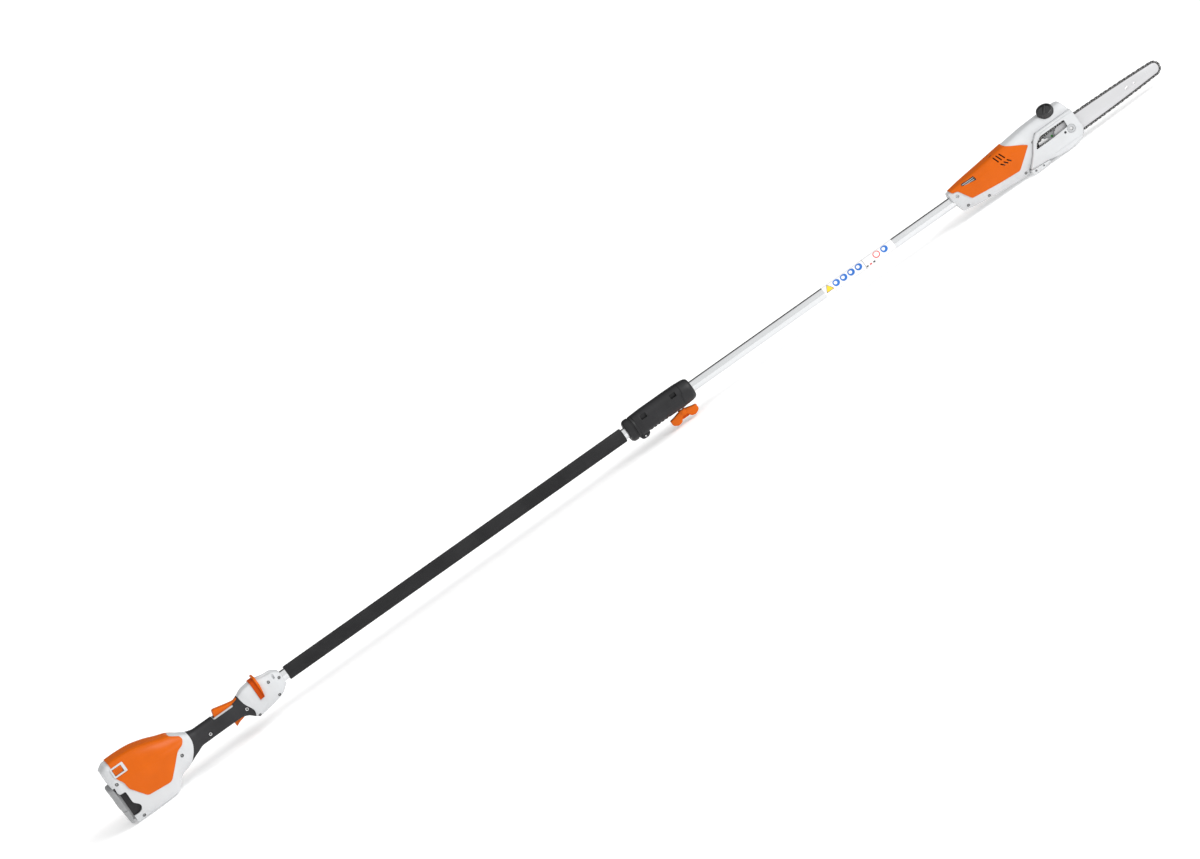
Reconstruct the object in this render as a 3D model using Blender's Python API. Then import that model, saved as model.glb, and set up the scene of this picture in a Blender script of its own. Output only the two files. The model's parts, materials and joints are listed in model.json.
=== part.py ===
"""Battery pole saw: a two-piece pole with a battery grip at the rear and a chain saw head in front.

Tool frame: x runs forward along the pole from the rear end, z is up, y is the mid plane.
The saw lies on the floor on the foot of its rear housing and the sole of its head, so the
pole leans forward by a small angle. The model's origin is on the floor under the middle.
"""
import math

import bmesh
import bpy
from mathutils import Matrix, Vector

# ---------------------------------------------------------------- driving sizes, metres
LENGTH = 2.800            # rear end to chain tip
GAP = 0.0003              # between faces that touch
SLIDE_GAP = 0.0006        # around pieces that move

POLE_OD = 0.025
POLE_WALL = 0.0015
HOSE_WALL = 0.0037
HOSE_START = 0.013        # from the control housing to the hose
HOSE_LENGTH = 0.8985
HOSE_END_GAP = 0.009      # from the hose to the coupling
CABLE_RADIUS = 0.003

REAR_TAPER = 0.096        # battery front to the grip
GRIP_LENGTH = 0.138
CONTROL_LENGTH = 0.1025
SHELL_WALL = 0.003
COVER_THICKNESS = 0.002   # orange covers stand this much proud
FOOT_BELOW_BATTERY = 0.011
SOLE_DROP = 0.0495        # pole axis to the floor at the head
FOOT_X = 0.060

BATTERY_LENGTH = 0.104
BATTERY_HALF_WIDTH = 0.037
BATTERY_LOW = -0.064
BATTERY_HIGH = 0.015
BATTERY_CAP = 0.012
BATTERY_CAP_OUTSET = 0.0065
BAY_WALL = 0.002
CONTACT_HALF = 0.018      # half width and half height of the contact window
CONTACT_HALF_HEIGHT = 0.012
BOARD_THICKNESS = 0.0016
LATCH_LENGTH = 0.022
LATCH_HEIGHT = 0.014
LATCH_DEPTH = 0.0105

LEVER_HALF_WIDTH = 0.010
TRIGGER_HALF_WIDTH = 0.0075
PIN_RADIUS = 0.002
PIN_HALF_LENGTH = 0.0135

COUPLING_LENGTH = 0.1735
COLLAR_LENGTH = 0.025
FRONT_COLLAR_LENGTH = 0.0305
SLEEVE_WALL = 0.0027
COUPLING_WALL = 0.0115
CLAMP_THREAD_RADIUS = 0.004
BUTTON_LENGTH = 0.011
BUTTON_HALF = 0.006
BUTTON_TRAVEL = 0.003
BUTTON_PROUD = 0.006      # below the coupling
WING_BACK = 0.0155         # wing screw axis behind the front collar
WING_HUB_RADIUS = 0.009
WING_HUB_LENGTH = 0.012
WING_HALF_THICKNESS = 0.006

HEAD_LENGTH = 0.330
BAR_REACH = 0.220         # head front to chain tip
TUBE_SOCKET = 0.058       # depth of the pole in the head
MOTOR_RADIUS = 0.0228
MOTOR_LENGTH = 0.050
ROTOR_RADIUS = 0.014
MOTOR_SHAFT_RADIUS = 0.0028
PINION_RADIUS = 0.008
GEAR_RADIUS = 0.020
DRIVE_Z = -0.009          # height of the bar and motor axes
SPROCKET_SHAFT_RADIUS = 0.004
SPROCKET_RADIUS = 0.0158
SPROCKET_TEETH = 8
BEARING_RADIUS = 0.009

BAR_PLANE_Y = -0.0265
BAR_THICKNESS = 0.0034
BAR_HALF_HEIGHT = 0.0185
BAR_NOSE_RADIUS = 0.012
CHAIN_HEIGHT = 0.0055
CHAIN_WIDTH = 0.0046
TENSION_TRAVEL = 0.002
BAR_PAD_Y = -0.020        # flat side of the head that carries the bar
COVER_FACE_Y = -0.040     # outer face of the sprocket cover
COVER_WALL = 0.0023
STUD_RADIUS = 0.004
NUT_RADIUS = 0.0095

CAP_RADIUS = 0.0195
CAP_HEIGHT = 0.012
CAP_TILT = math.radians(28.0)
NECK_RADIUS = 0.012
TANK_WALL = 0.002
TANK_LOW = -0.004
TANK_HIGH = 0.036
TANK_RIGHT = -0.0165
TANK_LEFT = 0.022

# ---------------------------------------------------------------- derived places
POLE_RADIUS = POLE_OD / 2
POLE_BORE = POLE_RADIUS - POLE_WALL
BATTERY_FRONT = BATTERY_CAP + BATTERY_LENGTH
FOOT_DROP = FOOT_BELOW_BATTERY - BATTERY_LOW
GRIP_X = BATTERY_FRONT + REAR_TAPER
CONTROL_X = GRIP_X + GRIP_LENGTH
CONTROL_END = CONTROL_X + CONTROL_LENGTH
TUBE_START = CONTROL_END - 0.042
HOSE_X = CONTROL_END + HOSE_START
HOSE_RADIUS = POLE_RADIUS + GAP + HOSE_WALL
COUPLING_X = HOSE_X + HOSE_LENGTH + HOSE_END_GAP
COUPLING_END = COUPLING_X + COUPLING_LENGTH
BODY_X = COUPLING_X + COLLAR_LENGTH
FRONT_COLLAR_X = COUPLING_END - FRONT_COLLAR_LENGTH
POLE_SPLIT_X = COUPLING_X + COUPLING_LENGTH / 2
SLEEVE_RADIUS = POLE_RADIUS + GAP + SLEEVE_WALL
COUPLING_RADIUS = SLEEVE_RADIUS + GAP + COUPLING_WALL
WING_X = FRONT_COLLAR_X - WING_BACK
BUTTON_X = (BODY_X + 0.003, BODY_X + 0.003 + BUTTON_LENGTH)
HEAD_X = LENGTH - BAR_REACH - HEAD_LENGTH
HEAD_END = HEAD_X + HEAD_LENGTH
SPROCKET_X = HEAD_X + 0.238
STUD_X = HEAD_X + 0.305
TENSION_X = HEAD_X + 0.289
CAP_BASE = Vector((HEAD_X + 0.280, -0.012, 0.046))
CAP_AXIS = Vector((0.0, -math.sin(CAP_TILT), math.cos(CAP_TILT)))
SOLE_X = HEAD_X + 0.280
FLOOR_SLOPE = (FOOT_DROP - SOLE_DROP) / (SOLE_X - FOOT_X)
LEAN = math.atan(FLOOR_SLOPE)
NOSE_X = LENGTH - BAR_NOSE_RADIUS - GAP - CHAIN_HEIGHT
BAR_ROOT_X = SPROCKET_X + 0.030
LATCH_X = (0.0325, 0.0325 + LATCH_LENGTH)
LATCH_Z = (BATTERY_HIGH + 0.029, BATTERY_HIGH + 0.029 + LATCH_HEIGHT)
LATCH_OUT = BATTERY_HALF_WIDTH + 0.0095
LATCH_IN = LATCH_OUT - LATCH_DEPTH
SIDES = 24


def floor_z(x):
    """Height of the floor below the pole axis at x."""
    return -FOOT_DROP + FLOOR_SLOPE * (x - FOOT_X)


# ---------------------------------------------------------------- materials
def finish(name, colour, roughness, metallic=0.0):
    material = bpy.data.materials.new(name)
    material.use_nodes = True
    shader = material.node_tree.nodes["Principled BSDF"]
    shader.inputs["Base Color"].default_value = (*colour, 1.0)
    shader.inputs["Roughness"].default_value = roughness
    shader.inputs["Metallic"].default_value = metallic
    material.diffuse_color = (*colour, 1.0)
    return material


# ---------------------------------------------------------------- shapes: (points, faces)
def prism(outline, y_from, y_to):
    """An outline of (x, z) points extruded along y."""
    count = len(outline)
    points = [Vector((x, y_from, z)) for x, z in outline]
    points += [Vector((x, y_to, z)) for x, z in outline]
    faces = [list(range(count)), list(range(count, 2 * count))]
    for i in range(count):
        j = (i + 1) % count
        faces.append([i, j, count + j, count + i])
    return points, faces


def block(x_from, x_to, y_from, y_to, z_from, z_to):
    outline = [(x_from, z_from), (x_to, z_from), (x_to, z_to), (x_from, z_to)]
    return prism(outline, y_from, y_to)


def loft(rings, closed=False):
    """Skin over rings of equal count; closed joins the last ring to the first."""
    count = len(rings[0])
    points = [point for ring in rings for point in ring]
    faces = []
    spans = len(rings) if closed else len(rings) - 1
    for k in range(spans):
        first = k * count
        second = ((k + 1) % len(rings)) * count
        for i in range(count):
            j = (i + 1) % count
            faces.append([first + i, first + j, second + j, second + i])
    if not closed:
        faces.append(list(range(count)))
        faces.append(list(range(count * (len(rings) - 1), count * len(rings))))
    return points, faces


def turned(profile, sides=SIDES, closed=False):
    """A profile of (x, radius) points turned about the x axis."""
    rings = []
    for x, radius in profile:
        ring = []
        for i in range(sides):
            angle = 2 * math.pi * i / sides
            ring.append(Vector((x, radius * math.cos(angle), radius * math.sin(angle))))
        rings.append(ring)
    return loft(rings, closed)


def rod(x_from, x_to, radius, sides=SIDES):
    return turned([(x_from, radius), (x_to, radius)], sides)


def pipe(x_from, x_to, outer, bore, sides=SIDES):
    profile = [(x_from, bore), (x_from, outer), (x_to, outer), (x_to, bore)]
    return turned(profile, sides, closed=True)


def toothed(x_from, x_to, root, tip, bore, teeth):
    """A toothed disc about the x axis with a round bore."""
    sides = teeth * 4
    rings = []
    for x, is_rim in ((x_from, False), (x_from, True), (x_to, True), (x_to, False)):
        ring = []
        for i in range(sides):
            angle = 2 * math.pi * i / sides
            rim = tip if i % 4 in (0, 1) else root
            radius = rim if is_rim else bore
            ring.append(Vector((x, radius * math.cos(angle), radius * math.sin(angle))))
        rings.append(ring)
    return loft(rings, closed=True)


def moved(shape, matrix):
    points, faces = shape
    return [matrix @ point for point in points], faces


def along_y(shape, x, z):
    """Turn a shape made about the x axis so that its axis runs along y at (x, z)."""
    quarter = Matrix.Rotation(math.pi / 2, 4, "Z")
    return moved(shape, Matrix.Translation((x, 0.0, z)) @ quarter)


def along_z(shape, x, y):
    """Turn a shape made about the x axis so that its axis runs along z at (x, y)."""
    quarter = Matrix.Rotation(-math.pi / 2, 4, "Y")
    return moved(shape, Matrix.Translation((x, y, 0.0)) @ quarter)


def along_cap(shape):
    """Turn a shape made about the x axis so that it stands on the oil cap's seat."""
    spin = Vector((1.0, 0.0, 0.0)).rotation_difference(CAP_AXIS).to_matrix().to_4x4()
    return moved(shape, Matrix.Translation(CAP_BASE) @ spin)


def skin_ring(station, outset=0.0, power=3.0, flat=1.08):
    """A soft-cornered section at one station: (x, low, widest, high, half width)."""
    x, low, widest, high, half = station
    low -= outset
    high += outset
    half += outset
    ring = []
    for i in range(SIDES):
        angle = 2 * math.pi * (i + 0.5) / SIDES
        across = math.cos(angle)
        up = math.sin(angle)
        y = half * math.copysign(abs(across) ** (2 / power), across)
        rise = abs(up) ** (2 / power)
        if up > 0:
            z = min(widest + (high - widest) * flat * rise, high)
        else:
            z = max(widest - (widest - low) * flat * rise, low)
        ring.append(Vector((x, y, z)))
    return ring


def body(stations, outset=0.0, power=3.0):
    """A housing skin; a negative outset makes the hollow inside it."""
    rings = []
    last = len(stations) - 1
    for index, station in enumerate(stations):
        x = station[0]
        if index == 0:
            x -= outset
        if index == last:
            x += outset
        rings.append(skin_ring((x, *station[1:]), outset, power))
    return loft(rings)


# ---------------------------------------------------------------- objects
def add(name, shape, material, pivot=(0.0, 0.0, 0.0)):
    """One piece of the saw, with its origin at pivot."""
    centre = Vector(pivot)
    points, faces = shape
    mesh = bpy.data.meshes.new(name)
    mesh.from_pydata([point - centre for point in points], [], faces)
    shell = bmesh.new()
    shell.from_mesh(mesh)
    bmesh.ops.recalc_face_normals(shell, faces=shell.faces)
    shell.to_mesh(mesh)
    shell.free()
    mesh.shade_smooth()
    mesh.set_sharp_from_angle(angle=math.radians(35))
    if material:
        mesh.materials.append(material)
    piece = bpy.data.objects.new(name, mesh)
    bpy.context.collection.objects.link(piece)
    piece.parent = tool
    piece.location = centre
    return piece


def guide(name, shape):
    """A shape that only cuts or joins others."""
    piece = add(name, shape, None)
    piece.hide_render = True
    piece.display_type = "WIRE"
    return piece


def combine(piece, other, operation):
    modifier = piece.modifiers.new(other.name, "BOOLEAN")
    modifier.operation = operation
    modifier.solver = "EXACT"
    modifier.object = other


def cut(piece, *cutters):
    for cutter in cutters:
        combine(piece, cutter, "DIFFERENCE")


def halves(name, shape, material, regions, shared=(), own=((), ())):
    """Right and left shells of one housing: the shape inside each region, less the cutters."""
    for side, region, side_cutters in zip(("right", "left"), regions, own):
        piece = add(f"{name}_{side}", shape, material)
        combine(piece, region, "INTERSECT")
        cut(piece, *side_cutters, *shared)


def side_regions(name, outline, reach=0.09):
    """Two prisms that take the right (-y) and the left (+y) half of an outline."""
    right = guide(f"{name}_right_region", prism(outline, -reach, -GAP / 2))
    left = guide(f"{name}_left_region", prism(outline, GAP / 2, reach))
    return right, left


# ---------------------------------------------------------------- scene
for old in list(bpy.data.objects):
    bpy.data.objects.remove(old, do_unlink=True)

orange = finish("orange_plastic", (0.85, 0.16, 0.0), 0.35)
white = finish("white_plastic", (0.80, 0.81, 0.82), 0.40)
grey = finish("battery_grey", (0.32, 0.33, 0.34), 0.50)
black = finish("black_plastic", (0.03, 0.03, 0.032), 0.50)
rubber = finish("black_rubber", (0.02, 0.02, 0.02), 0.85)
aluminium = finish("bright_aluminium", (0.80, 0.81, 0.82), 0.20, 1.0)
steel = finish("steel", (0.60, 0.60, 0.60), 0.30, 1.0)
chain_steel = finish("chain_steel", (0.12, 0.12, 0.12), 0.40, 1.0)
copper = finish("copper", (0.72, 0.35, 0.15), 0.35, 1.0)
board_green = finish("board_green", (0.03, 0.20, 0.07), 0.50)

reach_back = -math.sin(LEAN) * -BATTERY_LOW
reach_front = LENGTH * math.cos(LEAN) + DRIVE_Z * math.sin(LEAN)
tool = bpy.data.objects.new("tool", None)
bpy.context.collection.objects.link(tool)
tool.rotation_euler = (0.0, LEAN, 0.0)
tool.location = (-(reach_front + reach_back) / 2, 0.0, 0.0)
tool.location.z = -(floor_z(0.0) * math.cos(LEAN))

# ---------------------------------------------------------------- handle skin
# (x, low, widest, high, half width); one skin carries the rear housing, grip and controls
handle_skin = [
    (0.010, floor_z(0.010), 0.000, BATTERY_HIGH + 0.048, BATTERY_HALF_WIDTH + 0.009),
    (0.026, floor_z(0.026), 0.000, BATTERY_HIGH + 0.055, BATTERY_HALF_WIDTH + 0.012),
    (FOOT_X, floor_z(FOOT_X), 0.000, BATTERY_HIGH + 0.0555, BATTERY_HALF_WIDTH + 0.013),
    (BATTERY_FRONT - 0.021, floor_z(BATTERY_FRONT - 0.021), 0.000, BATTERY_HIGH + 0.0525,
     BATTERY_HALF_WIDTH + 0.013),
    (GRIP_X - 0.875 * REAR_TAPER, BATTERY_LOW - 0.0075, 0.000, BATTERY_HIGH + 0.044,
     BATTERY_HALF_WIDTH + 0.011),
    (GRIP_X - 0.615 * REAR_TAPER, -0.047, 0.000, 0.0495, 0.044),
    (GRIP_X - 0.365 * REAR_TAPER, -0.040, 0.000, 0.0415, 0.037),
    (GRIP_X - 0.155 * REAR_TAPER, -0.032, 0.000, 0.0305, 0.030),
    (GRIP_X, -0.027, 0.000, 0.0220, 0.024),
    (GRIP_X + 0.018, -0.0215, -0.001, 0.0175, 0.0185),
    (CONTROL_X - 0.020, -0.0210, -0.001, 0.0175, 0.0185),
    (CONTROL_X - 0.004, -0.0265, -0.001, 0.0220, 0.021),
    (CONTROL_X + 0.007, -0.0360, -0.001, 0.0275, 0.024),
    (CONTROL_X + 0.016, -0.0410, -0.001, 0.0300, 0.026),
    (CONTROL_X + 0.040, -0.0385, -0.001, 0.0325, 0.027),
    (CONTROL_END - 0.0285, -0.0320, -0.001, 0.0290, 0.026),
    (CONTROL_END - 0.0155, -0.0270, -0.001, 0.0275, 0.024),
    (CONTROL_END, -POLE_RADIUS - 0.003, 0.000, POLE_RADIUS + 0.0035, POLE_RADIUS + 0.005),
]
LATCH_STATION = handle_skin[14]
rear_seam = [(GRIP_X, 0.030), (GRIP_X, 0.004), (GRIP_X - 0.011, -0.018), (GRIP_X - 0.035, -0.045)]
front_seam = [(CONTROL_X - 0.004, 0.030), (CONTROL_X, 0.004), (CONTROL_X + 0.011, -0.021),
              (CONTROL_X + 0.004, -0.045)]


def seam_outline(seam_from, seam_to, x_from, x_to):
    """The side outline between two seams, or between a seam and an end."""
    half = GAP / 2
    tall = 0.1
    left = [(x_from, tall), (x_from, -tall)]
    right = [(x_to, -tall), (x_to, tall)]
    if seam_from:
        left = [(seam_from[0][0] + half, tall)]
        left += [(x + half, z) for x, z in seam_from]
        left += [(seam_from[-1][0] + half, -tall)]
    if seam_to:
        right = [(seam_to[-1][0] - half, -tall)]
        right += [(x - half, z) for x, z in reversed(seam_to)]
        right += [(seam_to[0][0] - half, tall)]
    return left + right


handle = body(handle_skin)
handle_hollow = guide("handle_hollow", body(handle_skin, -SHELL_WALL))
pole_hole = guide("pole_hole", rod(TUBE_START - 0.01, CONTROL_END + 0.02, POLE_RADIUS + GAP))

# ---------------------------------------------------------------- battery and its bay
battery_middle = (BATTERY_LOW + BATTERY_HIGH) / 2
bay_inner = SLIDE_GAP
bay_outer = SLIDE_GAP + BAY_WALL
cap_clear = BATTERY_CAP + 0.005


def battery_ring(x, outset):
    station = (x, BATTERY_LOW, battery_middle, BATTERY_HIGH, BATTERY_HALF_WIDTH)
    return skin_ring(station, outset, power=4.0)


bay = add("battery_bay", loft([battery_ring(cap_clear + GAP, bay_outer),
                               battery_ring(BATTERY_FRONT + GAP + BAY_WALL, bay_outer)]), black)
bay_hollow = guide("bay_hollow", loft([battery_ring(-0.02, bay_inner),
                                       battery_ring(BATTERY_FRONT + GAP, bay_inner)]))
contact_low = battery_middle - CONTACT_HALF_HEIGHT
contact_high = battery_middle + CONTACT_HALF_HEIGHT
contact_window = guide("contact_window", block(BATTERY_FRONT, BATTERY_FRONT + 0.02, -CONTACT_HALF,
                                               CONTACT_HALF, contact_low - GAP,
                                               contact_high + GAP))
cut(bay, bay_hollow, contact_window)
add("contact_block", block(BATTERY_FRONT + GAP, BATTERY_FRONT + 0.014, -CONTACT_HALF + GAP,
                           CONTACT_HALF - GAP, contact_low, contact_high), copper)

battery = add("battery_pack", loft([battery_ring(BATTERY_CAP - 0.002, 0.0),
                                    battery_ring(BATTERY_FRONT, 0.0)]), grey,
              pivot=(0.0, 0.0, battery_middle))
battery_plate = guide("battery_plate", loft([battery_ring(0.0, BATTERY_CAP_OUTSET - 0.003),
                                             battery_ring(0.003, BATTERY_CAP_OUTSET),
                                             battery_ring(BATTERY_CAP, BATTERY_CAP_OUTSET)]))
combine(battery, battery_plate, "UNION")

board_low = BATTERY_HIGH + 0.013
add("control_board", block(BATTERY_FRONT - 0.056, BATTERY_FRONT + 0.024, -0.030, 0.030, board_low,
                           board_low + BOARD_THICKNESS), board_green)

# Rear housing: room for the battery plate and finger recesses at both sides
plate_room = guide("plate_room", block(-0.02, cap_clear, -0.08, 0.08, BATTERY_LOW - 0.036,
                                       BATTERY_HIGH + BATTERY_CAP_OUTSET + SLIDE_GAP))
finger_high = BATTERY_HIGH - 0.011
finger_low = BATTERY_LOW + 0.010
finger_outline = [(cap_clear - 0.002, finger_high), (0.031, finger_high),
                  (0.031, finger_low + 0.028), (0.041, finger_low + 0.018),
                  (0.043, finger_low + 0.010), (0.038, finger_low + 0.0025),
                  (0.030, finger_low), (cap_clear - 0.002, finger_low)]
bay_side = BATTERY_HALF_WIDTH + bay_outer + GAP
finger_right = guide("finger_recess_right", prism(finger_outline, -0.08, -bay_side))
finger_left = guide("finger_recess_left", prism(finger_outline, bay_side, 0.08))


def latch_cut(name, side):
    edges = sorted((side * (LATCH_IN - 0.006), side * 0.08))
    return guide(name, block(LATCH_X[0] - SLIDE_GAP, LATCH_X[1] + SLIDE_GAP, edges[0], edges[1],
                             LATCH_Z[0] - SLIDE_GAP, LATCH_Z[1] + SLIDE_GAP))


latch_cuts = {"right": latch_cut("latch_cut_right", -1), "left": latch_cut("latch_cut_left", 1)}
for side_name, side in (("right", -1), ("left", 1)):
    edges = sorted((side * LATCH_IN, side * LATCH_OUT))
    add(f"battery_latch_{side_name}", block(LATCH_X[0], LATCH_X[1], edges[0], edges[1], LATCH_Z[0],
                                            LATCH_Z[1]), orange,
        pivot=(sum(LATCH_X) / 2, side * LATCH_OUT, sum(LATCH_Z) / 2))

rear_outline = seam_outline(None, rear_seam, -0.01, None)
halves("rear_housing", handle, white, side_regions("rear", rear_outline),
       [handle_hollow, plate_room],
       ([finger_right, latch_cuts["right"]], [finger_left, latch_cuts["left"]]))

# Orange side covers wrap the housing from the top down
cover_front = GRIP_X - 0.0175
cover_outline = [(0.0285, 0.100), (0.0285, 0.039), (0.039, 0.023), (0.041, 0.005),
                 (BATTERY_FRONT - 0.049, -0.032), (BATTERY_FRONT + 0.005, -0.0375),
                 (BATTERY_FRONT + 0.010, -0.035), (cover_front - 0.0245, 0.008),
                 (cover_front - 0.0065, 0.0125), (cover_front, 0.021),
                 (cover_front - 0.0005, 0.026), (cover_front - 0.0345, 0.0475),
                 (cover_front - 0.0445, 0.100)]
cover_under = guide("cover_under", body(handle_skin, GAP))
halves("side_cover", body(handle_skin, COVER_THICKNESS + GAP), orange,
       side_regions("side_cover", cover_outline), [cover_under],
       ([latch_cuts["right"]], [latch_cuts["left"]]))

# ---------------------------------------------------------------- grip
LEVER_PIVOT = (CONTROL_X - 0.019, 0.0, 0.009)
TRIGGER_PIVOT = (CONTROL_X - 0.012, 0.0, -0.010)
lever_x = CONTROL_X - 0.069
frame_from = lever_x - 0.0045
frame_to = lever_x + 0.0480
lever_front = CONTROL_X - 0.005
frame_low = 0.0120
frame_high = 0.0150
frame_half = 0.0160
lever_room = guide("lever_room", block(frame_from - GAP, frame_to + GAP, -0.03, 0.03,
                                       frame_low - GAP, 0.05))
tongue_room = guide("tongue_room", block(frame_to, lever_front + SLIDE_GAP,
                                         -LEVER_HALF_WIDTH - SLIDE_GAP, LEVER_HALF_WIDTH + SLIDE_GAP,
                                         0.002, 0.05))
trigger_x = CONTROL_X - 0.0385
trigger_room = guide("trigger_room", block(trigger_x - 0.006, CONTROL_X - 0.0035,
                                           -TRIGGER_HALF_WIDTH - SLIDE_GAP,
                                           TRIGGER_HALF_WIDTH + SLIDE_GAP, -0.06, -0.004))
halves("grip", handle, black, side_regions("grip", seam_outline(rear_seam, front_seam, None, None)),
       [handle_hollow, lever_room, tongue_room, trigger_room])

lever_frame = add("lever_frame", block(frame_from, frame_to, -frame_half, frame_half, frame_low,
                                       frame_high), white)
cut(lever_frame, guide("lever_window", block(frame_from + 0.002, frame_to + 0.01,
                                             -LEVER_HALF_WIDTH - SLIDE_GAP,
                                             LEVER_HALF_WIDTH + SLIDE_GAP, 0.0, 0.05)))
lever_outline = [(lever_x + 0.001, 0.006), (lever_x, 0.012), (lever_x + 0.004, 0.0290),
                 (lever_x + 0.009, 0.0292), (lever_x + 0.055, 0.0190), (lever_front, 0.0205),
                 (lever_front, 0.0170), (lever_x + 0.057, 0.0145), (lever_x + 0.054, 0.004),
                 (lever_x + 0.047, 0.004), (lever_x + 0.041, 0.008)]
lever = add("lockout_lever", prism(lever_outline, -LEVER_HALF_WIDTH, LEVER_HALF_WIDTH), orange,
            pivot=LEVER_PIVOT)
pin_bore = PIN_RADIUS + GAP
cut(lever, guide("lever_bore", along_y(rod(-0.02, 0.02, pin_bore, 16), LEVER_PIVOT[0],
                                       LEVER_PIVOT[2])))
pin_rod = rod(-PIN_HALF_LENGTH, PIN_HALF_LENGTH, PIN_RADIUS, 12)
add("lever_pin", along_y(pin_rod, LEVER_PIVOT[0], LEVER_PIVOT[2]), steel)

trigger_outline = [(trigger_x, -0.0325), (trigger_x + 0.001, -0.008), (trigger_x + 0.0305, -0.006),
                   (trigger_x + 0.032, -0.014), (trigger_x + 0.0285, -0.0225),
                   (trigger_x + 0.0165, -0.0260)]
trigger = add("trigger", prism(trigger_outline, -TRIGGER_HALF_WIDTH, TRIGGER_HALF_WIDTH), orange,
              pivot=TRIGGER_PIVOT)
cut(trigger, guide("trigger_bore", along_y(rod(-0.02, 0.02, pin_bore, 16), TRIGGER_PIVOT[0],
                                           TRIGGER_PIVOT[2])))
add("trigger_pin", along_y(pin_rod, TRIGGER_PIVOT[0], TRIGGER_PIVOT[2]), steel)
add("trigger_switch", block(trigger_x - 0.050, trigger_x - 0.032, -0.006, 0.006, -0.013, -0.003),
    black)

# ---------------------------------------------------------------- control housing
control_outline = seam_outline(front_seam, None, None, CONTROL_END + 0.01)
halves("control_housing", handle, white, side_regions("control", control_outline),
       [handle_hollow, pole_hole])

latch_x = CONTROL_X + 0.0345
flange_x = latch_x + 0.0105
latch_end = flange_x + 0.006
low_band = 0.0024
flange = 0.0075


def latch_ring(x, outset):
    return skin_ring((x, *LATCH_STATION[1:]), outset)


retaining_latch = add("retaining_latch", loft([latch_ring(latch_x, low_band),
                                               latch_ring(flange_x, low_band),
                                               latch_ring(flange_x + 0.0005, flange),
                                               latch_ring(latch_end, flange)]), orange,
                      pivot=(flange_x, 0.0, LATCH_STATION[3]))
cut(retaining_latch,
    guide("latch_saddle", loft([latch_ring(latch_x - 0.01, SLIDE_GAP),
                                latch_ring(latch_end + 0.01, SLIDE_GAP)])),
    guide("latch_below", block(latch_x - 0.01, latch_end + 0.01, -0.06, 0.06, -0.08, -0.013)))

# ---------------------------------------------------------------- lower pole
socket_x = POLE_SPLIT_X - 0.0265
add("lower_tube", pipe(TUBE_START, POLE_SPLIT_X - GAP, POLE_RADIUS, POLE_BORE), aluminium)
add("handle_hose", pipe(HOSE_X, HOSE_X + HOSE_LENGTH, HOSE_RADIUS, POLE_RADIUS + GAP), rubber)
add("lower_cable", rod(TUBE_START + 0.005, socket_x - GAP, CABLE_RADIUS, 10), black)
add("socket_connector", rod(socket_x, POLE_SPLIT_X - GAP, POLE_BORE - GAP, 16), black)

# ---------------------------------------------------------------- coupling
sleeve_bore = SLEEVE_RADIUS + GAP
add("clamp_sleeve", pipe(COUPLING_X + 0.003, COUPLING_END - 0.0025, SLEEVE_RADIUS,
                         POLE_RADIUS + GAP), aluminium)
collar_radius = COUPLING_RADIUS - 0.0005
add("rear_collar", turned([(COUPLING_X, sleeve_bore), (COUPLING_X, collar_radius - 0.003),
                           (COUPLING_X + 0.006, collar_radius),
                           (BODY_X - 0.004, collar_radius), (BODY_X - 0.002, collar_radius - 0.002),
                           (BODY_X - GAP, collar_radius - 0.002), (BODY_X - GAP, sleeve_bore)],
                          closed=True), black)
add("front_collar", turned([(FRONT_COLLAR_X + GAP, sleeve_bore),
                            (FRONT_COLLAR_X + GAP, collar_radius),
                            (COUPLING_END - 0.012, collar_radius - 0.001),
                            (COUPLING_END - 0.004, collar_radius - 0.003),
                            (COUPLING_END, collar_radius - 0.007), (COUPLING_END, sleeve_bore)],
                           closed=True), black)
coupling_skin = [
    (BODY_X, -COUPLING_RADIUS + 0.0010, 0.0, COUPLING_RADIUS - 0.0010, COUPLING_RADIUS - 0.002),
    (BODY_X + 0.030, -COUPLING_RADIUS, 0.0, COUPLING_RADIUS, COUPLING_RADIUS - 0.001),
    (FRONT_COLLAR_X - 0.030, -COUPLING_RADIUS, 0.0, COUPLING_RADIUS, COUPLING_RADIUS - 0.001),
    (FRONT_COLLAR_X, -collar_radius, 0.0, collar_radius, collar_radius - 0.001),
]
coupling_bore = guide("coupling_bore", rod(BODY_X - 0.01, FRONT_COLLAR_X + 0.01, sleeve_bore))
clamp_thread_bore = CLAMP_THREAD_RADIUS + GAP
clamp_hole = guide("clamp_hole", along_z(rod(-0.05, -0.010, clamp_thread_bore, 16), WING_X, 0.0))
button_top = -sleeve_bore - BUTTON_TRAVEL - GAP
button_bottom = -COUPLING_RADIUS - BUTTON_PROUD
button_room = guide("button_room", block(BUTTON_X[0] - SLIDE_GAP, BUTTON_X[1] + SLIDE_GAP,
                                         -BUTTON_HALF - SLIDE_GAP, BUTTON_HALF + SLIDE_GAP, -0.06,
                                         -0.010))
coupling_outline = [(BODY_X - 0.01, -0.06), (FRONT_COLLAR_X + 0.01, -0.06),
                    (FRONT_COLLAR_X + 0.01, 0.06), (BODY_X - 0.01, 0.06)]
halves("coupling_shell", loft([skin_ring(station, power=2.5, flat=1.0) for station in coupling_skin]),
       black, side_regions("coupling", coupling_outline), [coupling_bore, clamp_hole, button_room])
add("lock_button", block(BUTTON_X[0], BUTTON_X[1], -BUTTON_HALF, BUTTON_HALF, button_bottom,
                         button_top), black, pivot=(sum(BUTTON_X) / 2, 0.0, button_bottom))

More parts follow.
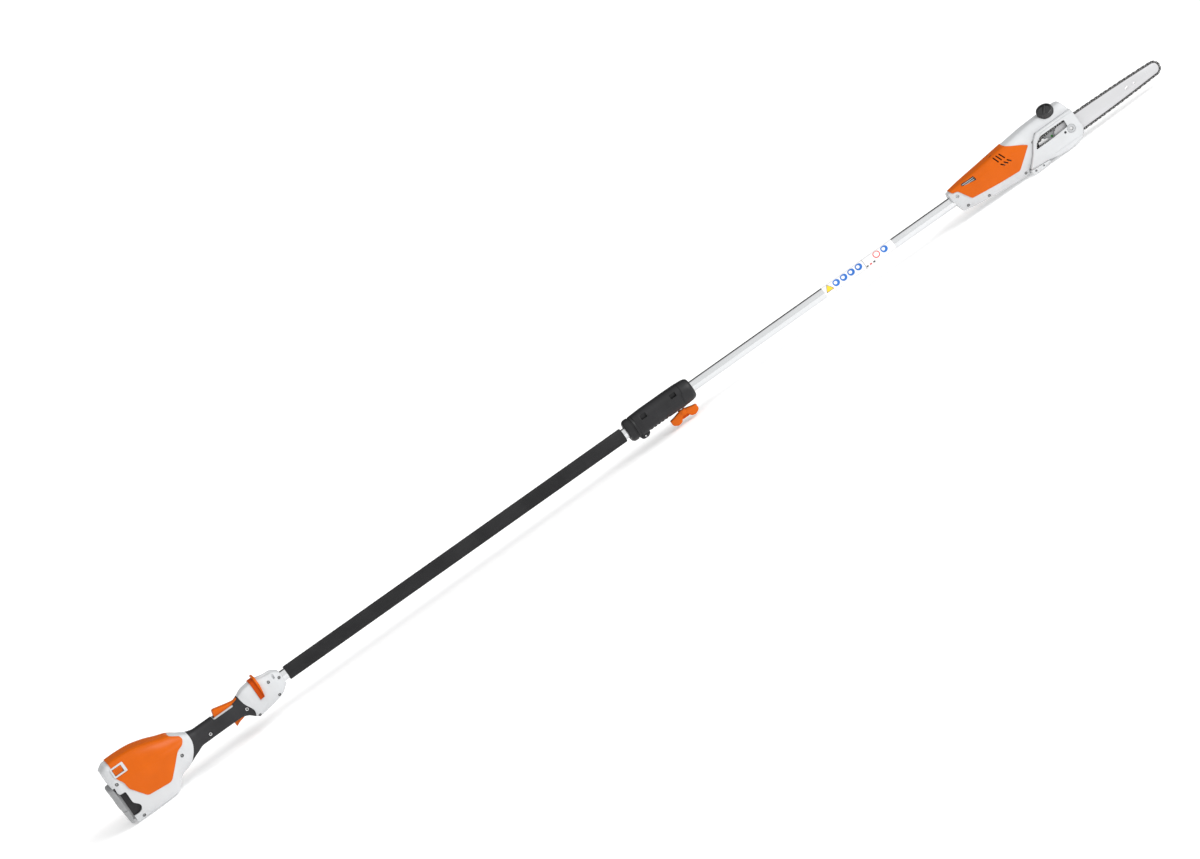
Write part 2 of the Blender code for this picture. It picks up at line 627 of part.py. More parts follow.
wing_top = -COUPLING_RADIUS - 0.0010
wing_profile = [(wing_top - WING_HUB_LENGTH, WING_HUB_RADIUS), (wing_top, WING_HUB_RADIUS),
                (wing_top + 0.0001, CLAMP_THREAD_RADIUS),
                (-sleeve_bore - SLIDE_GAP, CLAMP_THREAD_RADIUS)]
wing_screw = add("wing_screw", along_z(turned(wing_profile, 16), WING_X, 0.0), orange,
                 pivot=(WING_X, 0.0, wing_top))
wing_right = [(0.000, -0.0030), (0.010, -0.0030), (0.020, -0.0060), (0.034, -0.0080),
              (0.034, -0.0200), (0.023, -0.0265), (0.012, -0.0240), (0.009, -0.0190)]
wing_left = [(-x, z) for x, z in reversed(wing_right[1:])]
wing_outline = [(WING_X + x, wing_top + z) for x, z in wing_right + wing_left]
wing_blade = guide("wing_blade", prism(wing_outline, -WING_HALF_THICKNESS, WING_HALF_THICKNESS))
combine(wing_screw, wing_blade, "UNION")

# ---------------------------------------------------------------- upper pole
plug_end = POLE_SPLIT_X + 0.0225
add("upper_tube", pipe(POLE_SPLIT_X + GAP, HEAD_X + TUBE_SOCKET, POLE_RADIUS, POLE_BORE), aluminium)
add("plug_connector", rod(POLE_SPLIT_X + GAP, plug_end, POLE_BORE - GAP, 16), black)
add("upper_cable", rod(plug_end + GAP, HEAD_X + TUBE_SOCKET - 0.003, CABLE_RADIUS, 10), black)

# ---------------------------------------------------------------- head
head_skin = [
    (HEAD_X, -0.026, 0.000, 0.0225, 0.0215),
    (HEAD_X + 0.012, -0.029, 0.004, 0.0240, 0.0250),
    (HEAD_X + 0.040, -0.034, 0.010, 0.0275, 0.0290),
    (HEAD_X + 0.100, -0.041, 0.015, 0.0335, 0.0330),
    (HEAD_X + 0.152, -0.045, 0.018, 0.0395, 0.0340),
    (HEAD_X + 0.200, -0.048, 0.018, 0.0455, 0.0330),
    (HEAD_X + 0.230, floor_z(HEAD_X + 0.230), 0.018, 0.0480, 0.0315),
    (HEAD_X + 0.305, floor_z(HEAD_X + 0.305), 0.018, 0.0500, 0.0300),
    (HEAD_X + 0.318, -0.0460, 0.015, 0.0480, 0.0290),
    (HEAD_END, -0.0400, 0.000, 0.0160, 0.0270),
]
tube_hole = guide("head_tube_hole", rod(HEAD_X - 0.01, HEAD_X + TUBE_SOCKET + GAP, POLE_RADIUS + GAP))
motor_x = HEAD_X + 0.078
motor_end = motor_x + MOTOR_LENGTH
motor_room = guide("motor_room", moved(rod(HEAD_X + 0.064, motor_end + 0.022, MOTOR_RADIUS + GAP),
                                       Matrix.Translation((0.0, 0.0, DRIVE_Z))))
gear_room_x = SPROCKET_X - GEAR_RADIUS - 0.004
bearing_bore = BEARING_RADIUS + GAP
shaft_room = guide("shaft_room", moved(rod(motor_end, gear_room_x + 0.01, bearing_bore),
                                       Matrix.Translation((0.0, 0.0, DRIVE_Z))))
gear_face = PINION_RADIUS + GAP
gear_back = gear_face + 0.005
gear_room = guide("gear_room", block(gear_room_x, SPROCKET_X + GEAR_RADIUS + 0.001, -0.011,
                                     gear_back + 0.004, DRIVE_Z - GEAR_RADIUS - 0.001,
                                     DRIVE_Z + GEAR_RADIUS + 0.001))
drive_hole = guide("drive_hole", along_y(rod(BAR_PAD_Y - 0.03, 0.0, bearing_bore), SPROCKET_X,
                                         DRIVE_Z))
tank_x = SPROCKET_X + GEAR_RADIUS + 0.004
tank_end = HEAD_X + 0.316
tank_room = guide("tank_room", block(tank_x, tank_end, TANK_RIGHT, TANK_LEFT, TANK_LOW, TANK_HIGH))
neck_room = guide("neck_room", along_cap(turned([(-0.022, NECK_RADIUS + GAP), (-GAP, NECK_RADIUS + GAP),
                                                 (-GAP, CAP_RADIUS + SLIDE_GAP),
                                                 (0.05, CAP_RADIUS + SLIDE_GAP)])))

# Right side of the head is flat where the bar, sprocket and cover sit
sprocket_cover_outline = [
    (HEAD_X + 0.231, 0.027), (HEAD_END - 0.003, 0.027), (HEAD_END - 0.001, -0.026),
    (HEAD_X + 0.315, -0.041), (HEAD_X + 0.282, -0.047), (HEAD_X + 0.250, -0.0445),
    (HEAD_X + 0.227, -0.0385), (HEAD_X + 0.180, -0.0355), (HEAD_X + 0.202, -0.010),
    (HEAD_X + 0.218, 0.015)]
recess_outline = [
    (HEAD_X + 0.2305, 0.0276), (HEAD_END + 0.01, 0.0276), (HEAD_END + 0.01, -0.070),
    (HEAD_X + 0.1775, -0.070), (HEAD_X + 0.1785, -0.0355), (HEAD_X + 0.2012, -0.0097),
    (HEAD_X + 0.2172, 0.0153)]
bar_recess = guide("bar_recess", prism(recess_outline, -0.06, BAR_PAD_Y))
tension_room = guide("tension_room", along_y(rod(BAR_PAD_Y - 0.01, BAR_PAD_Y + 0.011, 0.0033, 16),
                                             TENSION_X, DRIVE_Z))
stud_hole = guide("stud_hole", along_y(rod(BAR_PAD_Y - 0.01, BAR_PAD_Y + 0.012, STUD_RADIUS + GAP, 16),
                                       STUD_X, DRIVE_Z))
head_region = [(HEAD_X - 0.01, -0.09), (HEAD_END + 0.02, -0.09), (HEAD_END + 0.02, 0.09),
               (HEAD_X - 0.01, 0.09)]
halves("head_housing", loft([skin_ring(station, power=2.6) for station in head_skin]), white,
       side_regions("head", head_region),
       [tube_hole, motor_room, shaft_room, gear_room, tank_room, neck_room],
       ([drive_hole, bar_recess, tension_room, stud_hole], []))

head_cover_outline = [
    (HEAD_X + 0.007, 0.070), (HEAD_X + 0.007, 0.0205), (HEAD_X + 0.020, 0.019),
    (HEAD_X + 0.039, -0.012), (HEAD_X + 0.110, -0.0195), (HEAD_X + 0.160, -0.0230),
    (HEAD_X + 0.2055, 0.015), (HEAD_X + 0.193, 0.0237), (HEAD_X + 0.154, 0.0450),
    (HEAD_X + 0.150, 0.070)]
motor_cover_under = guide("motor_cover_under",
                          loft([skin_ring(station, GAP, 2.6) for station in head_skin]))
halves("motor_cover",
       loft([skin_ring(station, COVER_THICKNESS + GAP, 2.6) for station in head_skin]), orange,
       side_regions("motor_cover", head_cover_outline), [motor_cover_under])

# Motor: stator, rotor, shaft, bearings and pinion about the drive axis
drive_line = Matrix.Translation((0.0, 0.0, DRIVE_Z))
drive_pivot = (motor_x, 0.0, DRIVE_Z)
shaft_bore = MOTOR_SHAFT_RADIUS + GAP
add("motor_stator", moved(pipe(motor_x, motor_end, MOTOR_RADIUS, ROTOR_RADIUS + GAP), drive_line),
    copper)
add("motor_rotor", moved(pipe(motor_x + 0.002, motor_end - 0.002, ROTOR_RADIUS, shaft_bore),
                         drive_line), steel, pivot=drive_pivot)
pinion_end = SPROCKET_X - GEAR_RADIUS + 0.008
add("motor_shaft", moved(rod(motor_x - 0.011, pinion_end, MOTOR_SHAFT_RADIUS, 16), drive_line), steel,
    pivot=drive_pivot)
add("motor_bearing", moved(pipe(motor_end + 0.040, motor_end + 0.047, BEARING_RADIUS, shaft_bore),
                           drive_line), steel)
add("bevel_pinion", moved(toothed(pinion_end - 0.010, pinion_end, PINION_RADIUS - 0.002, PINION_RADIUS,
                                  shaft_bore, 9), drive_line), steel, pivot=drive_pivot)

# Sprocket shaft across the head, with the gear wheel, bearing and drive sprocket
sprocket_pivot = (SPROCKET_X, BAR_PLANE_Y, DRIVE_Z)
spindle_bore = SPROCKET_SHAFT_RADIUS + GAP
add("sprocket_shaft", along_y(rod(BAR_PLANE_Y - 0.006, gear_back + 0.002, SPROCKET_SHAFT_RADIUS, 16),
                              SPROCKET_X, DRIVE_Z), steel, pivot=sprocket_pivot)
add("gear_wheel", along_y(pipe(gear_face, gear_back, GEAR_RADIUS, spindle_bore), SPROCKET_X, DRIVE_Z),
    steel, pivot=sprocket_pivot)
add("sprocket_bearing", along_y(pipe(BAR_PAD_Y + 0.001, BAR_PAD_Y + 0.007, BEARING_RADIUS,
                                     spindle_bore), SPROCKET_X, DRIVE_Z), steel)
add("drive_sprocket", along_y(toothed(BAR_PLANE_Y - 0.0025, BAR_PLANE_Y + 0.0025,
                                      SPROCKET_RADIUS - 0.0025, SPROCKET_RADIUS, spindle_bore,
                                      SPROCKET_TEETH), SPROCKET_X, DRIVE_Z), steel,
    pivot=sprocket_pivot)

# Oil tank with its neck, and the cap on the slanted seat
tank = add("oil_tank", block(tank_x + GAP, tank_end - GAP, TANK_RIGHT + GAP, TANK_LEFT - GAP,
                             TANK_LOW + GAP, TANK_HIGH - GAP), white)
combine(tank, guide("tank_neck", along_cap(rod(-0.0215, -GAP, NECK_RADIUS))), "UNION")
cut(tank, guide("tank_hollow", block(tank_x + TANK_WALL, tank_end - TANK_WALL,
                                     TANK_RIGHT + TANK_WALL, TANK_LEFT - TANK_WALL,
                                     TANK_LOW + TANK_WALL, TANK_HIGH - TANK_WALL)),
    guide("tank_mouth", along_cap(rod(-0.020, 0.02, NECK_RADIUS - TANK_WALL))))
cap_profile = [(0.0, CAP_RADIUS - 0.001), (0.001, CAP_RADIUS), (CAP_HEIGHT - 0.002, CAP_RADIUS),
               (CAP_HEIGHT, CAP_RADIUS - 0.002)]
add("oil_cap", along_cap(turned(cap_profile, 32)), black, pivot=CAP_BASE)

# ---------------------------------------------------------------- bar and chain


def bar_half_height(x):
    """Half height of the bar, falling to the nose radius."""
    share = (x - BAR_ROOT_X) / (NOSE_X - BAR_ROOT_X)
    share = min(max(share, 0.0), 1.0)
    return BAR_HALF_HEIGHT + (BAR_NOSE_RADIUS - BAR_HALF_HEIGHT) * share ** 2.2


def arc(x, radius, angle_from, angle_to, steps):
    points = []
    for i in range(steps + 1):
        angle = math.radians(angle_from + (angle_to - angle_from) * i / steps)
        points.append((x + radius * math.cos(angle), DRIVE_Z + radius * math.sin(angle)))
    return points


def bar_edge(x_from, x_to, side, outset, steps=7):
    points = []
    for i in range(steps + 1):
        x = x_from + (x_to - x_from) * i / steps
        points.append((x, DRIVE_Z + side * (bar_half_height(x) + outset)))
    return points


def bar_outline():
    root = [(BAR_ROOT_X, DRIVE_Z - 0.010), (BAR_ROOT_X + 0.010, DRIVE_Z - BAR_HALF_HEIGHT)]
    lower = bar_edge(BAR_ROOT_X + 0.020, NOSE_X, -1, 0.0)
    nose = arc(NOSE_X, BAR_NOSE_RADIUS, -90, 90, 8)[1:-1]
    upper = bar_edge(NOSE_X, BAR_ROOT_X + 0.020, 1, 0.0)
    end = [(BAR_ROOT_X + 0.010, DRIVE_Z + BAR_HALF_HEIGHT), (BAR_ROOT_X, DRIVE_Z + 0.010)]
    return root + lower + nose + upper + end


def chain_outline(outset):
    lower = bar_edge(BAR_ROOT_X + 0.010, NOSE_X, -1, outset)
    nose = arc(NOSE_X, BAR_NOSE_RADIUS + outset, -90, 90, 8)[1:-1]
    upper = bar_edge(NOSE_X, BAR_ROOT_X + 0.010, 1, outset)
    around = arc(SPROCKET_X, SPROCKET_RADIUS + outset, 95, 265, 10)
    return lower + nose + upper + around


bar_low_y = BAR_PLANE_Y - BAR_THICKNESS / 2
bar_high_y = BAR_PLANE_Y + BAR_THICKNESS / 2
bar = add("guide_bar", prism(bar_outline(), bar_low_y, bar_high_y), steel,
          pivot=(BAR_ROOT_X, BAR_PLANE_Y, DRIVE_Z))
slot_half = STUD_RADIUS + GAP
stud_slot = guide("stud_slot", block(STUD_X - slot_half, STUD_X + slot_half + TENSION_TRAVEL + 0.006,
                                     bar_low_y - 0.01, bar_high_y + 0.01, DRIVE_Z - slot_half,
                                     DRIVE_Z + slot_half))
tension_hole = guide("tension_hole", along_y(rod(BAR_PLANE_Y - 0.01, BAR_PLANE_Y + 0.01, 0.004, 16),
                                             TENSION_X, DRIVE_Z))
nose_slot_half = 0.0007
nose_slot = guide("nose_slot", along_y(rod(BAR_PLANE_Y - nose_slot_half, BAR_PLANE_Y + nose_slot_half,
                                           BAR_NOSE_RADIUS + 0.0015, 32), NOSE_X, DRIVE_Z))
cut(bar, stud_slot, tension_hole, nose_slot)
add("nose_sprocket", along_y(toothed(BAR_PLANE_Y - nose_slot_half + GAP / 2,
                                     BAR_PLANE_Y + nose_slot_half - GAP / 2,
                                     BAR_NOSE_RADIUS - 0.003, BAR_NOSE_RADIUS - 0.001, 0.002, 9),
                             NOSE_X, DRIVE_Z), steel, pivot=(NOSE_X, BAR_PLANE_Y, DRIVE_Z))

chain = add("saw_chain", prism(chain_outline(GAP + CHAIN_HEIGHT), BAR_PLANE_Y - CHAIN_WIDTH / 2,
                               BAR_PLANE_Y + CHAIN_WIDTH / 2), chain_steel,
            pivot=(BAR_ROOT_X, BAR_PLANE_Y, DRIVE_Z))
cut(chain, guide("chain_inside", prism(chain_outline(GAP), BAR_PLANE_Y - CHAIN_WIDTH,
                                       BAR_PLANE_Y + CHAIN_WIDTH)))

# ---------------------------------------------------------------- stud, cover, nut and hook
add("bar_stud", along_y(rod(COVER_FACE_Y + 0.001, BAR_PAD_Y + 0.010, STUD_RADIUS, 16), STUD_X, DRIVE_Z),
    steel)
add("tension_screw", along_y(rod(BAR_PAD_Y + GAP, BAR_PAD_Y + 0.010, 0.003, 12), TENSION_X, DRIVE_Z),
    steel, pivot=(TENSION_X, BAR_PAD_Y, DRIVE_Z))
cover = add("sprocket_cover", prism(sprocket_cover_outline, COVER_FACE_Y, BAR_PAD_Y - GAP), white,
            pivot=(STUD_X, COVER_FACE_Y, DRIVE_Z))
pocket_outline = [
    (HEAD_X + 0.2325, 0.027 - COVER_WALL), (HEAD_X + 0.308, 0.027 - COVER_WALL),
    (HEAD_X + 0.308, 0.021), (HEAD_END + 0.02, 0.021), (HEAD_END + 0.02, -0.038),
    (HEAD_X + 0.313, -0.0385), (HEAD_X + 0.282, -0.047 + COVER_WALL),
    (HEAD_X + 0.250, -0.0420), (HEAD_X + 0.227, -0.0360), (HEAD_X + 0.186, -0.0330),
    (HEAD_X + 0.2045, -0.011), (HEAD_X + 0.2200, 0.014)]
window_outline = [(HEAD_X + 0.2145, -0.004), (HEAD_X + 0.222, 0.008), (HEAD_X + 0.238, 0.0165),
                  (HEAD_X + 0.301, 0.0165), (HEAD_X + 0.301, -0.001), (HEAD_X + 0.255, -0.004)]
nut_face = COVER_FACE_Y - 0.0010
nut_back = COVER_FACE_Y + 0.0080
cut(cover,
    guide("cover_pocket", prism(pocket_outline, COVER_FACE_Y + COVER_WALL, 0.0)),
    guide("cover_window", prism(window_outline, COVER_FACE_Y - 0.01, COVER_FACE_Y + 0.01)),
    guide("nut_hole", along_y(rod(COVER_FACE_Y - 0.01, COVER_FACE_Y + 0.01, NUT_RADIUS + GAP), STUD_X,
                              DRIVE_Z)),
    guide("tension_access", along_y(rod(COVER_FACE_Y - 0.01, COVER_FACE_Y + 0.01, 0.003, 12), TENSION_X,
                                    DRIVE_Z)))
add("cover_nut", along_y(pipe(nut_face, nut_back, NUT_RADIUS, STUD_RADIUS + GAP), STUD_X, DRIVE_Z),
    steel, pivot=(STUD_X, COVER_FACE_Y, DRIVE_Z))
hook_outline = [(HEAD_X + 0.1795, -0.0362), (HEAD_X + 0.2265, -0.0392), (HEAD_X + 0.2285, -0.0440),
                (HEAD_X + 0.2050, -0.0485), (HEAD_X + 0.1840, -0.0490), (HEAD_X + 0.1795, -0.0460)]
add("branch_hook", prism(hook_outline, COVER_FACE_Y + 0.002, BAR_PAD_Y - GAP), white)
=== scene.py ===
import json
import math

import bmesh
import bpy
from mathutils import Matrix, Vector


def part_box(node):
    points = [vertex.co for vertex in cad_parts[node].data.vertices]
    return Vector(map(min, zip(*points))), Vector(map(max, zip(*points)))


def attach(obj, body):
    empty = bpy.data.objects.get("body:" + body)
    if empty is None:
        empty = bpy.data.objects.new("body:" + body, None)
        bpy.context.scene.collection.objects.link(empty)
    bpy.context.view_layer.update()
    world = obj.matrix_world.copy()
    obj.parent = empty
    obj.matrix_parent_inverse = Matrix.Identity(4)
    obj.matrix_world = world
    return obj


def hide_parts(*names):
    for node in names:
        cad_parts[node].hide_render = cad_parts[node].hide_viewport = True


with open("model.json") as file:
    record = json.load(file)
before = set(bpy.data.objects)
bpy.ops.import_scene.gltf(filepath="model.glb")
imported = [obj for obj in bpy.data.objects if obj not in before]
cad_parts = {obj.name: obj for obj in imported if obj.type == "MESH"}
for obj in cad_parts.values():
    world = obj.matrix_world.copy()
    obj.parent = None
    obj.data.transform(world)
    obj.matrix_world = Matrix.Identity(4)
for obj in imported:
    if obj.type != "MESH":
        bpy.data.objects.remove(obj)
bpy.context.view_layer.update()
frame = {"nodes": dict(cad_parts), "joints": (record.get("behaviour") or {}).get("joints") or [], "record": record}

# The pole leans a little, so pieces are drawn in the pole's own frame, in millimetres:
# x forward along the pole from the rear end, y to the left, z up from the pole's axis.
joints = {joint["name"]: joint for joint in frame["joints"]}
mounts = {mount["name"]: mount for mount in frame["record"]["mounts"]}
mm = 0.001
sharpAngle = math.radians(40)
sides = {"right": -1, "left": 1}


def poleFrame():
    forward = Vector(joints["pole_pull"]["axis"]).normalized()
    left = Vector((0, 1, 0))
    up = forward.cross(left)
    low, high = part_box("handle_hose")
    onAxis = (low + high) / 2
    rearEnd = Vector(mounts["battery_end"]["pos_m"])
    origin = onAxis - forward * (onAxis - rearEnd).dot(forward)
    turn = Matrix((forward, left, up)).transposed().to_4x4()
    return Matrix.Translation(origin) @ turn @ Matrix.Scale(mm, 4)


toWorld = poleFrame()
toPole = toWorld.inverted()


def poleBox(node):
    # lowest and highest corner of a CAD node in the pole's frame
    points = [toPole @ vertex.co for vertex in frame["nodes"][node].data.vertices]
    low = Vector([min(point[i] for point in points) for i in range(3)])
    high = Vector([max(point[i] for point in points) for i in range(3)])
    return low, high


def jointPlace(name):
    return toPole @ Vector(joints[name]["pos_m"])


def floorZ(x):
    # height of the floor under the pole's axis
    return -(toWorld[2][0] * x + toWorld[2][3]) / toWorld[2][2]


controlX = jointPlace("lever_press").x + 19
gripX = controlX - 138
controlEnd = poleBox("control_housing_right")[1].x
couplingX = poleBox("rear_collar")[0].x
shellX = poleBox("coupling_shell_right")[0].x
frontCollarX = poleBox("front_collar")[0].x
couplingEnd = poleBox("front_collar")[1].x
headX = poleBox("head_housing_right")[0].x
headEnd = poleBox("head_housing_right")[1].x
driveX = jointPlace("sprocket_spin").x
driveZ = jointPlace("sprocket_spin").z
noseX = jointPlace("nose_spin").x
studX = jointPlace("nut_turn").x
tensionX = jointPlace("tension_screw_turn").x
wingX = jointPlace("wing_screw_turn").x
coverFace = poleBox("sprocket_cover")[0].y
padY = poleBox("sprocket_cover")[1].y
poleRadius = poleBox("upper_tube")[1].y
print("frame read: head at", round(headX), "mm, bar nose at", round(noseX), "mm")


# Shapes
def limited(value):
    return min(max(value, 0.0), 1.0)


def rect(xFrom, xTo, zFrom, zTo):
    return [(xFrom, zFrom), (xTo, zFrom), (xTo, zTo), (xFrom, zTo)]


def loft(rings, loop=False):
    # rings of equal length joined in order; a loop joins the last to the first
    points = [point for ring in rings for point in ring]
    count = len(rings[0])
    faces = []
    for k in range(len(rings) if loop else len(rings) - 1):
        a = k * count
        b = ((k + 1) % len(rings)) * count
        for i in range(count):
            j = (i + 1) % count
            faces.append((a + i, a + j, b + j, b + i))
    if not loop:
        faces.append(tuple(range(count)))
        faces.append(tuple(range(count * (len(rings) - 1), count * len(rings))))
    return points, faces


def circle(x, radius, count, wave=(0.0,)):
    # a ring about the x axis; wave is how far each point lies in from the radius
    points = []
    for i in range(count):
        a = 2 * math.pi * i / count
        r = radius - wave[i % len(wave)]
        points.append(Vector((x, r * math.cos(a), r * math.sin(a))))
    return points


def spun(profile, count=48, loop=False):
    # a profile of (x, radius) turned about the x axis
    return loft([circle(x, radius, count) for x, radius in profile], loop)


def insetOutline(outline, distance):
    # every side of the outline moved inwards by the distance
    area = sum(a[0] * b[1] - b[0] * a[1] for a, b in zip(outline, outline[1:] + outline[:1]))
    turn = 1 if area > 0 else -1
    moved = []
    count = len(outline)
    for i in range(count):
        here = Vector(outline[i])
        first = (here - Vector(outline[i - 1])).normalized()
        second = (Vector(outline[(i + 1) % count]) - here).normalized()
        normal = Vector((-first.y - second.y, first.x + second.x)) * turn
        if normal.length < 1e-6:
            normal = Vector((-first.y, first.x)) * turn
        normal.normalize()
        lean = max(normal.dot(Vector((-first.y, first.x)) * turn), 0.45)
        moved.append(tuple(here + normal * distance / lean))
    return moved


def stacked(outline, rows, flat=False):
    # an (x, z) outline at rows of (y, inset); flat takes it as (x, y) at rows of (z, inset)
    rings = []
    for level, inset in rows:
        ring = insetOutline(outline, inset) if inset else outline
        rings.append([Vector((a, b, level) if flat else (a, level, b)) for a, b in ring])
    return loft(rings)


def slab(outline, yFrom, yTo, edge=0.0, edgeFar=None):
    # an (x, z) outline extruded along y, its rims rounded by edge and edgeFar
    far = edge if edgeFar is None else edgeFar
    sign = 1 if yTo > yFrom else -1
    rows = [(yFrom, 0.0)]
    if edge:
        rows = [(yFrom, edge), (yFrom + sign * edge * 0.30, edge * 0.30), (yFrom + sign * edge, 0.0)]
    if far:
        rows += [(yTo - sign * far, 0.0), (yTo - sign * far * 0.30, far * 0.30), (yTo, far)]
    else:
        rows += [(yTo, 0.0)]
    return stacked(outline, rows)


def block(xFrom, xTo, yFrom, yTo, zFrom, zTo):
    return slab(rect(xFrom, xTo, zFrom, zTo), yFrom, yTo)


def halfSpace(side, gap=0.15, reach=90.0):
    # everything on one side of the middle plane
    return block(-50, headEnd + 70, side * gap, side * reach, -reach - 20, reach + 20)


def roundOutline(outline, radius, steps=4):
    # corners replaced by arcs; each corner's radius is limited by its sides
    rounded = []
    count = len(outline)
    for i in range(count):
        here = Vector(outline[i])
        back = Vector(outline[i - 1]) - here
        ahead = Vector(outline[(i + 1) % count]) - here
        reach = min(radius, back.length * 0.45, ahead.length * 0.45)
        start = here + back.normalized() * reach
        end = here + ahead.normalized() * reach
        for k in range(steps + 1):
            t = k / steps
            rounded.append(tuple(start * (1 - t) ** 2 + here * 2 * t * (1 - t) + end * t ** 2))
    return rounded


def curved(outline, steps, closed=True):
    # a smooth curve through the outline's points
    count = len(outline)
    points = []
    for i in range(count if closed else count - 1):
        near = [i - 1, i, i + 1, i + 2]
        near = [k % count if closed else min(max(k, 0), count - 1) for k in near]
        p0, p1, p2, p3 = (Vector(outline[k]) for k in near)
        for k in range(steps):
            t = k / steps
            points.append(tuple(0.5 * (2 * p1 + (p2 - p0) * t + (2 * p0 - 5 * p1 + 4 * p2 - p3) * t * t
                + (3 * p1 - p0 - 3 * p2 + p3) * t ** 3)))
    return points if closed else points + [outline[-1]]


def turnedTo(shape, axis, centre):
    # a shape made about the x axis, turned to another axis and moved
    spin = Vector((1, 0, 0)).rotation_difference(Vector(axis)).to_matrix().to_4x4()
    matrix = Matrix.Translation(centre) @ spin
    points, faces = shape
    return [matrix @ point for point in points], faces


def joined(shapes):
    points = []
    faces = []
    for shapePoints, shapeFaces in shapes:
        start = len(points)
        points += shapePoints
        faces += [tuple(start + i for i in face) for face in shapeFaces]
    return points, faces


def makeMesh(name, shape):
    points, faces = shape
    mesh = bpy.data.meshes.new(name)
    mesh.from_pydata([tuple(point) for point in points], [], [tuple(face) for face in faces])
    work = bmesh.new()
    work.from_mesh(mesh)
    bmesh.ops.recalc_face_normals(work, faces=work.faces)
    work.to_mesh(mesh)
    work.free()
    mesh.shade_smooth()
    mesh.set_sharp_from_angle(angle=sharpAngle)
    piece = bpy.data.objects.new(name, mesh)
    bpy.context.collection.objects.link(piece)
    return piece


def modifiedMesh(piece):
    # the piece's mesh with its modifiers worked in; the modifiers are then cleared
    bpy.context.view_layer.update()
    graph = bpy.context.evaluated_depsgraph_get()
    mesh = bpy.data.meshes.new_from_object(piece.evaluated_get(graph))
    piece.modifiers.clear()
    return mesh


def carve(piece, shape, operation="DIFFERENCE"):
    # cuts with a shape, or keeps what lies within it; other ways are tried if nothing is left
    tool = makeMesh("carver", shape)
    old = piece.data
    for solver, crossing in (("EXACT", False), ("EXACT", True), ("FAST", False)):
        modifier = piece.modifiers.new("carve", "BOOLEAN")
        modifier.operation = operation
        modifier.solver = solver
        modifier.object = tool
        if solver == "EXACT":
            modifier.use_self = crossing
        mesh = modifiedMesh(piece)
        if len(mesh.vertices) > len(old.vertices) * 0.2:
            break
        bpy.data.meshes.remove(mesh)
        mesh = None
    if mesh:
        piece.data = mesh
        bpy.data.meshes.remove(old)
    else:
        print("not cut:", piece.name, operation)
    bpy.data.meshes.remove(tool.data)


def keepWithin(piece, shape):
    carve(piece, shape, "INTERSECT")


def drill(piece, x, z, radius, y, depth=40, side=-1, count=24):
    # a round hole along y, starting at y
    carve(piece, turnedTo(spun([(0, radius), (depth, radius)], count), (0, side, 0), (x, y, z)))


# Finishes
def surface(name, dark, light, rough, metallic=0.0, grain=700.0, bump=0.12, stretch=(1, 1, 1),
        blotch=16.0, sheen=0.5):
    # colour, gloss and relief all vary with noise laid out in the object's own space
    material = bpy.data.materials.new(name)
    material.use_nodes = True
    nodes = material.node_tree.nodes
    links = material.node_tree.links
    shader = nodes["Principled BSDF"]
    place = nodes.new("ShaderNodeTexCoord")
    spread = nodes.new("ShaderNodeMapping")
    spread.inputs["Scale"].default_value = stretch
    links.new(place.outputs["Object"], spread.inputs["Vector"])

    def noise(scale, detail):
        node = nodes.new("ShaderNodeTexNoise")
        node.inputs["Scale"].default_value = scale
        node.inputs["Detail"].default_value = detail
        links.new(spread.outputs["Vector"], node.inputs["Vector"])
        return node

    broad = noise(blotch, 3.0)
    fine = noise(grain, 4.0)
    tint = nodes.new("ShaderNodeValToRGB")
    for element, position, colour in zip(tint.color_ramp.elements, (0.32, 0.68), (dark, light)):
        element.position = position
        element.color = (*(colour if isinstance(colour, tuple) else (colour,) * 3), 1)
    links.new(broad.outputs["Fac"], tint.inputs["Fac"])
    links.new(tint.outputs["Color"], shader.inputs["Base Color"])
    gloss = nodes.new("ShaderNodeMapRange")
    gloss.inputs["From Min"].default_value = 0.3
    gloss.inputs["From Max"].default_value = 0.7
    gloss.inputs["To Min"].default_value = rough[0]
    gloss.inputs["To Max"].default_value = rough[1]
    links.new(fine.outputs["Fac"], gloss.inputs["Value"])
    links.new(gloss.outputs["Result"], shader.inputs["Roughness"])
    relief = nodes.new("ShaderNodeBump")
    relief.inputs["Strength"].default_value = bump
    relief.inputs["Distance"].default_value = 0.0002
    links.new(fine.outputs["Fac"], relief.inputs["Height"])
    links.new(relief.outputs["Normal"], shader.inputs["Normal"])
    shader.inputs["Metallic"].default_value = metallic
    shader.inputs["Specular IOR Level"].default_value = sheen
    return material


